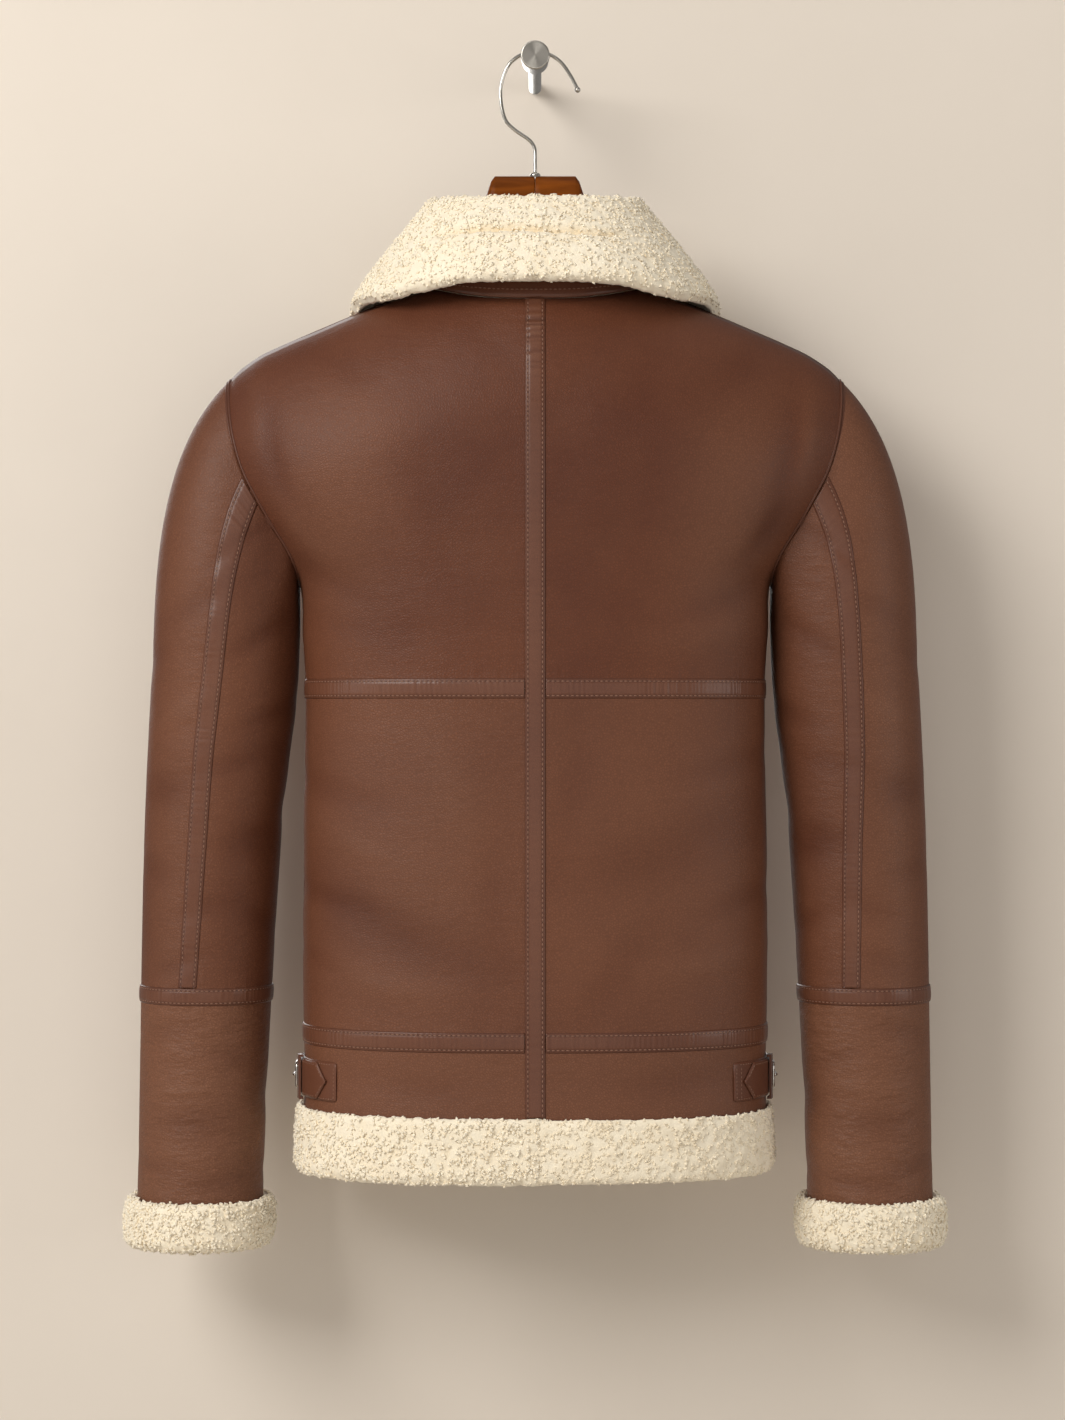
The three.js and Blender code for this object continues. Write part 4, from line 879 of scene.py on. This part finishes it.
def curls(point, out, count, seed, long, thick, droop, band):
    """Points and faces of small blunt curls on a grid of points: each is three
    rings of three points and a tip on a bent line, root + d t + bend t^2, and
    its place is drawn in proportion to the cells' areas times band."""
    dice = np.random.default_rng(seed)
    corner = point[:-1, :-1], point[:-1, 1:], point[1:, :-1]
    area = np.linalg.norm(np.cross(corner[1] - corner[0], corner[2] - corner[0]), axis=-1)
    area = area * np.broadcast_to(band, point.shape[:2])[:-1, :-1]
    cell = dice.choice(area.size, count, p=(area / area.sum()).ravel())
    i, j = np.divmod(cell, area.shape[1])
    u, v = dice.random((2, count, 1))
    root = point[i, j] + u * (point[i + 1, j] - point[i, j]) + v * (point[i, j + 1] - point[i, j])
    stray = dice.normal(size=(2, count, 3))
    lean = unit(out[i, j] + stray[0] * 0.5 + np.array([0, 0, -droop]))
    bend = unit(np.cross(lean, stray[1]))
    aside = np.cross(lean, bend)
    length = dice.uniform(*long, (count, 1))
    width = dice.uniform(*thick, (count, 1))
    parts = []
    for t, size in ((-0.25, 0.9), (0.4, 1.0), (0.82, 0.68)):
        centre = root + lean * t * length + bend * 0.5 * length * t**2
        for a, b in ((1, 0), (-0.5, 0.87), (-0.5, -0.87)):
            parts.append(centre + (bend * a + aside * b) * width * size)
    parts.append(root + lean * length + bend * 0.5 * length)
    base = np.arange(count)[:, None, None] * 10
    sides = grid_faces(3, 3, wrap=True)
    ends = np.array([(2, 1, 0), (6, 7, 9), (7, 8, 9), (8, 6, 9)])
    faces = (base + sides).reshape(-1, 4).tolist() + (base + ends).reshape(-1, 3).tolist()
    # Roots darker than tips: painted shade
    tip = np.tile(np.repeat([0.3, 0.55, 0.75, 0.8], [3, 3, 3, 1]), count)
    return np.stack(parts, 1).reshape(-1, 3), faces, tip


def wool_band(name, rings, ring, node, count, seed, high, shown, groove=0.0,
              long=(0.8, 1.8), thick=(1.3, 2.2), droop=0.15):
    """Wool band with its curls as a second piece, both in long wool. Curls grow
    where shown is 1, and a groove of 1 is bare of curls and darkened, a
    painted shade in the crease."""
    point, out, tall = pile(rings, ring, seed, high)
    # tip is lower in the hollows between tufts and lower still in a groove: painted shade
    mesh = bar_mesh(f"wool_{name}", point, ring, {"tip": 0.15 + tall * 0.6 - 0.8 * groove})
    curl_points, faces, tip = curls(point, out, count, seed + 1, long, thick, droop,
                                    shown * (1 - groove) ** 2)
    tufted = make_mesh(f"curls_{name}", curl_points, faces, {"tip": tip})
    curled = piece(f"curls_{name}", tufted, [long_wool])
    piece(f"wool_{name}", mesh, [long_wool], [node])


hem_outline = [  # lift from the leather's face, height
    (0.6, HEM_TOP_Z - 1), (0.6, PANEL_END_Z - SEAM), (-8, PANEL_END_Z - SEAM), (-8, HEM_END_Z + 5),
    (-4, HEM_END_Z), (1, HEM_END_Z), (4, HEM_END_Z + 6), (4.6, HEM_END_Z + 22),
    (4.2, HEM_TOP_Z - 4), (2, HEM_TOP_Z),
]
lift, z = round_section(np.array(hem_outline, float), 48).T[:, None]
quarters = []
for face, side in ((1, -1), (-1, -1), (-1, 1), (1, 1)):
    share = np.linspace(0, 1, 122)[:, None]
    point, normal, _ = lower_site(face, side, share, z, ZIP_HALF + SEAM if face > 0 else 0)
    point[-1, :, 1] = 0
    quarters.append((point + normal * lift[..., None])[::face])
# Known fault: the right half's two quarters run the wrong way
hem_rings = np.concatenate([quarters[0]] + [quarter[1:] for quarter in quarters[1:]])
out_of_leather = np.clip((lift - 0.4) / 2 + (z < HEM_END_Z + 3), 0, 1)
wool_band("hem", hem_rings, False, "hem_fur", 7200, 3, 3.0, out_of_leather)

cuff_outline = [
    (1.2, CUFF_TOP_Z - 2), (1.2, FOREARM_END_Z - SEAM), (-7, FOREARM_END_Z - SEAM),
    (-7, CUFF_END_Z + 5), (-3, CUFF_END_Z), (4, CUFF_END_Z), (8, CUFF_END_Z + 5),
    (9, CUFF_END_Z + 16), (8, CUFF_TOP_Z - 5), (4, CUFF_TOP_Z),
]
lift, z = round_section(np.array(cuff_outline, float), 44).T[:, None]
out_of_leather = np.clip((lift - 0.8) / 2 + (z < CUFF_END_Z + 3), 0, 1)
for side, word in SIDES:
    point, normal, _ = sleeve_site(side, circle(170, 360)[:, None], run_at(z))
    wool_band(f"cuff_{word}", point + normal * lift[..., None], True, f"cuff_fur_{word}",
              2300, 20 + side, 3.0, out_of_leather)

# Collar: a sheepskin fall over a leather stand. The wool rolls over the fold
# and falls down the back, spreads over the shoulders and ends in two wings
# in front; the fall carries one crease across the back.
COLLAR = [  # turn from the back, fold x y z, edge x y z
    (0, 0, -57, -121, 0, -92, -176), (30, 40, -49, -120, 54, -87, -177),
    (60, 68, -27, -118, 103, -58, -184), (90, 79, 4, -118, 136, 1, -187),
    (120, 71, 35, -146, 126, 60, -223), (150, 42, 64, -192, 84, 94, -272),
    (172, 14, 75, -224, 40, 97, -300),
]
ROLL = 8.0  # thickness of the wool over the fold
CREASE_Z, CREASE_DEPTH, CREASE_SWELL = -139.5, 5.6, 1.2


def neck_point(turn):
    """Neck seam: x is the neckline's half width times sin(turn)."""
    x = np.minimum(NECK_X * np.sin(np.radians(turn)), NECK_X - 1e-6)
    back, front = body_site(-1, x, top_edge(-1, x))[0], body_site(1, x, top_edge(1, x))[0]
    return np.where((turn <= 90)[:, None], back, front)


def collar_frame(degrees):
    """Seam, fold and edge at each turn, and the directions up the stand, down
    the fall, and out of each."""
    turn, sign = np.abs(degrees), np.where(degrees < 0, -1, 1)
    fold = np.stack([along(COLLAR, k, turn) for k in (1, 2, 3)], -1)
    edge = np.stack([along(COLLAR, k, turn) for k in (4, 5, 6)], -1)
    seam = neck_point(turn)
    angle = np.radians(turn)
    away = np.stack([np.sin(angle), -np.cos(angle), 0 * angle], -1)
    rise, fall = unit(fold - seam), unit(edge - fold)
    stand_out = unit(away - rise * (away * rise).sum(-1, keepdims=True))
    top = away + (0, 0, 1)
    fall_out = unit(top - fall * (top * fall).sum(-1, keepdims=True))
    mirror = np.stack([sign, 1 + 0 * sign, 1 + 0 * sign], -1)
    return [v * mirror for v in (seam, fold, edge, rise, fall, stand_out, fall_out)]


turns = np.linspace(-172, 172, 340)
seam, fold, edge, rise, fall, stand_out, fall_out = collar_frame(turns)
up = np.array([0, 0, 1.0])
middle = fold + (edge - fold) * 0.6
corners = np.stack([
    seam + rise * 3 - stand_out * 2.4, seam + rise * 4 - stand_out * 11,
    seam + (fold - seam) / 2 - stand_out * 11.5, fold - stand_out * (ROLL + 1.5),
    fold - stand_out * ROLL * 0.6 + up * ROLL * 0.8,
    fold + up * ROLL * 0.9 + fall_out * ROLL * 0.3,
    fold + fall_out * ROLL + fall * 8, middle + fall_out * ROLL,
    edge + fall_out * 5.5 - fall, edge + fall * 3, edge - fall_out * 4.5 - fall * 2,
    fold + fall * 17 - fall_out * 4, fold - rise * 15 - stand_out * 2.4,
], 1)
rings = round_section(corners, 104)
x, y, z = rings[..., 0], rings[..., 1], rings[..., 2]
below = z - (CREASE_Z - 1.2 * np.sin(x / 26) - 0.0006 * x**2)
crease = bell(below, 0, 2.1) / (1 + np.exp((np.abs(x) - 62) / 7)) * (y < -45)
swell = CREASE_SWELL * bell(below, 7, 5) * crease.max(1, keepdims=True)
rings = rings + outward(rings, False) * (swell - CREASE_DEPTH * crease)[..., None]
over_fall = (((rings - fold[:, None]) * fall_out[:, None]).sum(-1) + 3) / 9
in_neck = (-((rings - seam[:, None]) * stand_out[:, None]).sum(-1) - 4) / 7
shown = np.minimum(over_fall.clip(0, 1) + in_neck.clip(0, 1), 1)
# The crease goes in as groove: bare of curls and darkened as painted shade
wool_band("collar", rings, False, "collar_fur", 9000, 41, 2.6, shown, crease,
          long=(0.7, 1.5), thick=(1.2, 2.0))

across = np.linspace(-1, 1, 13)[None, :, None]
low, high = seam + rise * 0.8, fold - rise * 32
point = low[:, None] + (high - low)[:, None] * (across + 1) / 2
out = stand_out[:, None]
outer = point + out * (0.25 * (1 - np.abs(across) ** 6) ** 0.5 - 0.1)
sewn("collar_stand_leather", np.concatenate([outer, (point - out * 1.8)[:, ::-4]], 1),
     "collar_stand", point, gather_up=0.25)
stitches("stitching_collar", [(outer[:, 2], stand_out)])

# Side adjusters: a leather patch sewn over each side seam, a strap with a
# pointed tip that goes through a steel buckle and under a keeper.
ADJUST_Z = -778.0  # middle of the strap


def adjuster_site(sign, arc, z):
    """Points at an arc length round the body from the side seam, towards the
    back if it is positive, at heights z."""
    arc, z = np.broadcast_arrays(np.asarray(arc, float), np.asarray(z, float))
    angle = np.arange(0, 1.5, 0.004)
    c, s = np.cos(angle), np.sin(angle)
    radius = (c**SQUARENESS + s**SQUARENESS) ** (-1 / SQUARENESS)
    wide = along(BODY, 1, ADJUST_Z)
    behind = (arc >= 0)[..., None]
    sites = []
    for face, column in ((-1, 2), (1, 3)):
        path = np.stack([wide * radius * c, along(BODY, column, ADJUST_Z) * radius * s], -1)
        share = np.interp(np.abs(arc), length_along(path), path[:, 0] / wide)
        sites.append(body_site(face, sign * share * along(BODY, 1, z), z))
    return [np.where(behind, back, front) for back, front in zip(sites[0][:2], sites[1][:2])]


def ribbon(name, sign, arcs, half, low, thick, node):
    """Flat leather piece round the side: half gives its half height at each
    arc, and its edges are rounded down."""
    share = np.linspace(-1, 1, 17)[None]
    point, normal = adjuster_site(sign, arcs[:, None], ADJUST_Z + share * half[:, None])
    lift = low + thick * (0.25 + 0.75 * (1 - np.abs(share) ** 8) ** 0.5)
    rings = np.concatenate([point + normal * lift[..., None],
                            (point + normal * low)[:, ::-4]], 1)
    sewn(name, rings, node, point, held="laid", tone=0.04)


steel = plain("polished_steel", (0.62, 0.59, 0.55), 0.18, 1)
for side, word in SIDES:
    arcs = np.linspace(-30, 78, 110)
    ribbon(f"patch_{word}", side, arcs, 15 - 1.5 * np.exp(-((78 - arcs) / 1.2)), LAYER, 1.3,
           f"adjuster_patch_{word}")
    arcs = np.linspace(-62, 68.3, 130)
    half = np.where(arcs > 57, np.maximum(14 * (68.6 - arcs) / 11.6, 1.2), 14)
    ribbon(f"strap_{word}", side, arcs, half, 2.0, 1.5, f"adjuster_strap_{word}")

    def seam_row(arc, z, lift):
        point, normal = adjuster_site(side, arc, ADJUST_Z + z)
        return point + normal * lift, normal

    on_patch, on_strap = LAYER + 1.25, 3.45
    rows = [seam_row(np.linspace(-28, 75.5, 90), z, on_patch) for z in (-13, 13)]
    for arc in (75.5, 70.5)[:1 + (side > 0)]:  # the right patch's end is sewn with two rows
        rows.append(seam_row(arc, np.linspace(-13, 13, 20), on_patch))
    for z in (-12, 12):
        rows.append(seam_row(np.linspace(-60, 56, 90), z, on_strap))
        rows.append(seam_row(np.linspace(56.6, 66, 14), z * np.linspace(1, 0.08, 14), on_strap))
    stitches(f"stitching_adjuster_{word}", rows, pitch=3.0, long=2.0, thick=0.3)
    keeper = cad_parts[f"adjuster_keeper_{word}"].data.materials
    keeper.clear()
    keeper.append(strip_leather)

    # Buckle: a frame bent from round steel with its prong across it
    a = circle(120)
    squared = (np.abs(np.cos(a)) ** 6 + np.abs(np.sin(a)) ** 6) ** (-1 / 6)
    seat_x = along(BODY, 1, ADJUST_Z) + 5.3
    path = np.stack([side * seat_x + 0 * a, 17.2 * squared * np.cos(a),
                     ADJUST_Z + 9.7 * squared * np.sin(a)], -1)
    out = np.broadcast_to(np.array([side, 0, 0.0]), path.shape)
    solid(f"buckle_{word}", rod_rings(path, 1.25, out, 14), steel,
          [f"buckle_frame_{word}"], ring=True)
    t = np.linspace(0, 1, 26)
    path = np.stack([side * (seat_x + 2.5 - 1.1 * (t > 0.96)), 11 - 26 * t, ADJUST_Z + 0 * t], -1)
    radius = np.minimum(1, np.sqrt(np.minimum(t, 1 - t) / 0.03 + 0.08))[:, None, None]
    section = np.stack([np.cos(a), 0 * a, np.sin(a)], -1)[::10]
    solid(f"prong_{word}", path[:, None] + radius * section, steel,
          [f"buckle_prong_{word}"])

# Zip: two rows of teeth that mesh down the middle of the front, with the
# slider at the top and its pull tab hanging from it on a pin.
zip_metal = plain("dull_nickel", (0.4, 0.36, 0.3), 0.34, 1)
tape_cloth = plain("zip_tape", (0.05, 0.022, 0.014), 0.85)
down = np.arange(HEM_END_Z + 4, -266, 2.1)
point, normal, _ = body_site(1, 0 * down, down)
odd = np.where(np.arange(len(down)) % 2, 1.0, -1.0)[:, None]
centre = point - normal * 1.6 + np.array([1.0, 0, 0]) * odd * 0.55
tooth = np.array([(x, y, z) for x in (-1.9, 1.9) for y in (-0.8, 0.75) for z in (-0.85, 0.85)])
sides = np.array([(0, 1, 3, 2), (4, 6, 7, 5), (0, 4, 5, 1), (2, 3, 7, 6), (0, 2, 6, 4),
                  (1, 5, 7, 3)])
faces = (np.arange(len(down))[:, None, None] * 8 + sides).reshape(-1, 4)
teeth_mesh = make_mesh("zip_teeth", centre[:, None] + tooth, faces)
teeth_mesh.polygons.foreach_set("use_smooth", np.zeros(len(teeth_mesh.polygons), bool))
piece("zip_teeth", teeth_mesh, [zip_metal], ["zip_chain"])
down = np.linspace(HEM_END_Z + 3, -264.5, 120)[:, None]
point, normal, _ = body_site(1, np.linspace(-ZIP_HALF, ZIP_HALF, 5)[None], down)
rings = np.concatenate([point - normal * 2.4, (point - normal * 3.4)[:, ::-1]], 1)
solid("zip_tape_cloth", rings, tape_cloth)
for node in ("zip_slider", "zip_pull"):
    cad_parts[node].data.materials.clear()
    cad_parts[node].data.materials.append(zip_metal)

# Hanger: two varnished wooden arms that meet in the neck block with a fine
# joint between them, and a steel hook that screws into it through a ferrule.
ARM = [  # x, top, underside, half depth
    (0.2, -88, -186, 12), (31, -88, -193, 12), (34, -92, -194, 12), (38, -104, -196, 12),
    (46, -165, -199, 13), (88, -182.8, -213, 13.5), (130, -199, -228, 17),
    (170, -215.8, -240, 19), (200, -230, -250, 20), (208, -240, -247, 9),
]
wood = plain("varnished_wood", (0.2, 0.06, 0.01), 0.36)
clouded(wood, (14, 90, 120), 0.6, (0.34, (0.095, 0.022, 0.002)), (0.68, (0.225, 0.057, 0.005)))
dress(wood, {"Specular IOR Level": 0.08, "Coat Weight": 0.02, "Coat Roughness": 0.15})
table = np.array(ARM, float).T
x = np.unique(np.r_[0.02, 0.4, np.linspace(0.9, 208, 64), table[0, 1:]])[:, None]
top, low, deep = (np.interp(x, table[0], row) for row in table[1:])
c, s = (np.sign(v) * np.abs(v) ** 0.8 for v in (np.cos(circle(44)), np.sin(circle(44))))
bevel = 1 - 0.05 * np.exp(-x / 0.4)  # at the joint in the neck block
for side, word in SIDES:
    rings = np.stack([side * x + 0 * c, bevel * deep * c,
                      (top + low) / 2 + bevel * (top - low) / 2 * s], -1)
    solid(f"arm_{word}", rings, wood, [f"hanger_arm_{word}"])

hook_steel = plain("hook_steel", (0.56, 0.53, 0.48), 0.16, 1)
HOOK = np.array([
    (32.3, -20.2), (27, -10.2), (20, -0.4), (11.4, 5.6), (0, 8.7), (-11.6, 5), (-19.3, -1),
    (-23.9, -9.4), (-26.6, -20.9), (-25.7, -34.8), (-22.3, -45.6), (-15.4, -52.5),
    (-4.5, -60.2), (-0.6, -66), (0, -76), (0, -85.4),
])
at = length_along(HOOK)
x, z = (along(list(zip(at, row)), 1, np.linspace(0, at[-1], 200)) for row in HOOK.T)
path = np.stack([x, 0 * x, z], -1)
out = np.broadcast_to(np.array([0, -1.0, 0]), path.shape)
solid("hook_wire", rod_rings(path, 1.4, out, 16, ring=False), hook_steel,
      ["hanger_hook"])


def turned(name, outline, centre, axis, material, nodes=()):
    """Solid of revolution: each (radius, height) of the outline is carried
    round the axis, "y" towards the viewer or "z" up, from a centre."""
    outline, a = np.array(outline, float), circle(72)[None]
    radius, height = np.maximum(outline[:, :1], 1e-3), outline[:, 1:] + 0 * a
    c, s = radius * np.cos(a), radius * np.sin(a)
    rings = np.stack([c, -height, s] if axis == "y" else [c, s, height], -1)
    solid(name, rings + np.array(centre, float), material, nodes)


def softened(outline, step=0.3):
    """Outline with its straight lines cut into short ones near each corner."""
    points = [outline[0]]
    for (r0, h0), (r1, h1) in zip(outline, outline[1:]):
        long = np.hypot(r1 - r0, h1 - h0)
        for t in ([step / long, 1 - step / long] if long > 3 * step else []):
            points.append((r0 + (r1 - r0) * t, h0 + (h1 - h0) * t))
        points.append((r1, h1))
    return points


ball = [(2.3 * np.sin(t), -21.4 - 2.3 * np.cos(t)) for t in np.linspace(0, np.pi, 22)]
turned("hook_ball", ball, (32.6, 0, 0), "z", hook_steel)
cup = [(0, -87.7), (4.2, -87.7), (4.1, -87.0), (3.6, -86.2), (3.2, -85.8), (1.45, -85.7),
       (0, -85.7)]
turned("ferrule_cup", softened(cup, 0.15), (0, 0, 0), "z", hook_steel,
       ["hanger_ferrule"])

# Wall peg: a turned steel head, with a groove round it and fine rings spun
# into its face, on a thin shank that holds it well off the wall.
peg_steel = plain("spun_steel", (0.5, 0.47, 0.42), 0.24, 1)
spin = add(peg_steel.node_tree, "Tangent", direction_type="RADIAL", axis="Y")
dress(peg_steel, {"Anisotropic": 0.85, "Tangent": spin.outputs["Tangent"]})
SHANK, HEAD_START, HEAD_END, HEAD_RADIUS = 5.0, 107.2, 133.2, 11.0
face_radius = np.arange(HEAD_RADIUS - 0.9, 0.2, -0.35)
spun = [(r, HEAD_END + 0.02 * (-1) ** k) for k, r in enumerate(face_radius)]
outline = [(0, 0), (SHANK, 0), (SHANK, HEAD_START), (9.4, HEAD_START), (10.2, HEAD_START + 1),
           (10.2, HEAD_END - 10), (9.5, HEAD_END - 9.4), (9.5, HEAD_END - 8.4),
           (HEAD_RADIUS, HEAD_END - 7.8), (HEAD_RADIUS, HEAD_END - 0.9),
           (HEAD_RADIUS - 0.35, HEAD_END - 0.25)]
turned("peg_turned", softened(outline) + spun + [(0, HEAD_END)], (0, HANG_DEPTH, 0), "y",
       peg_steel, ["wall_peg"])
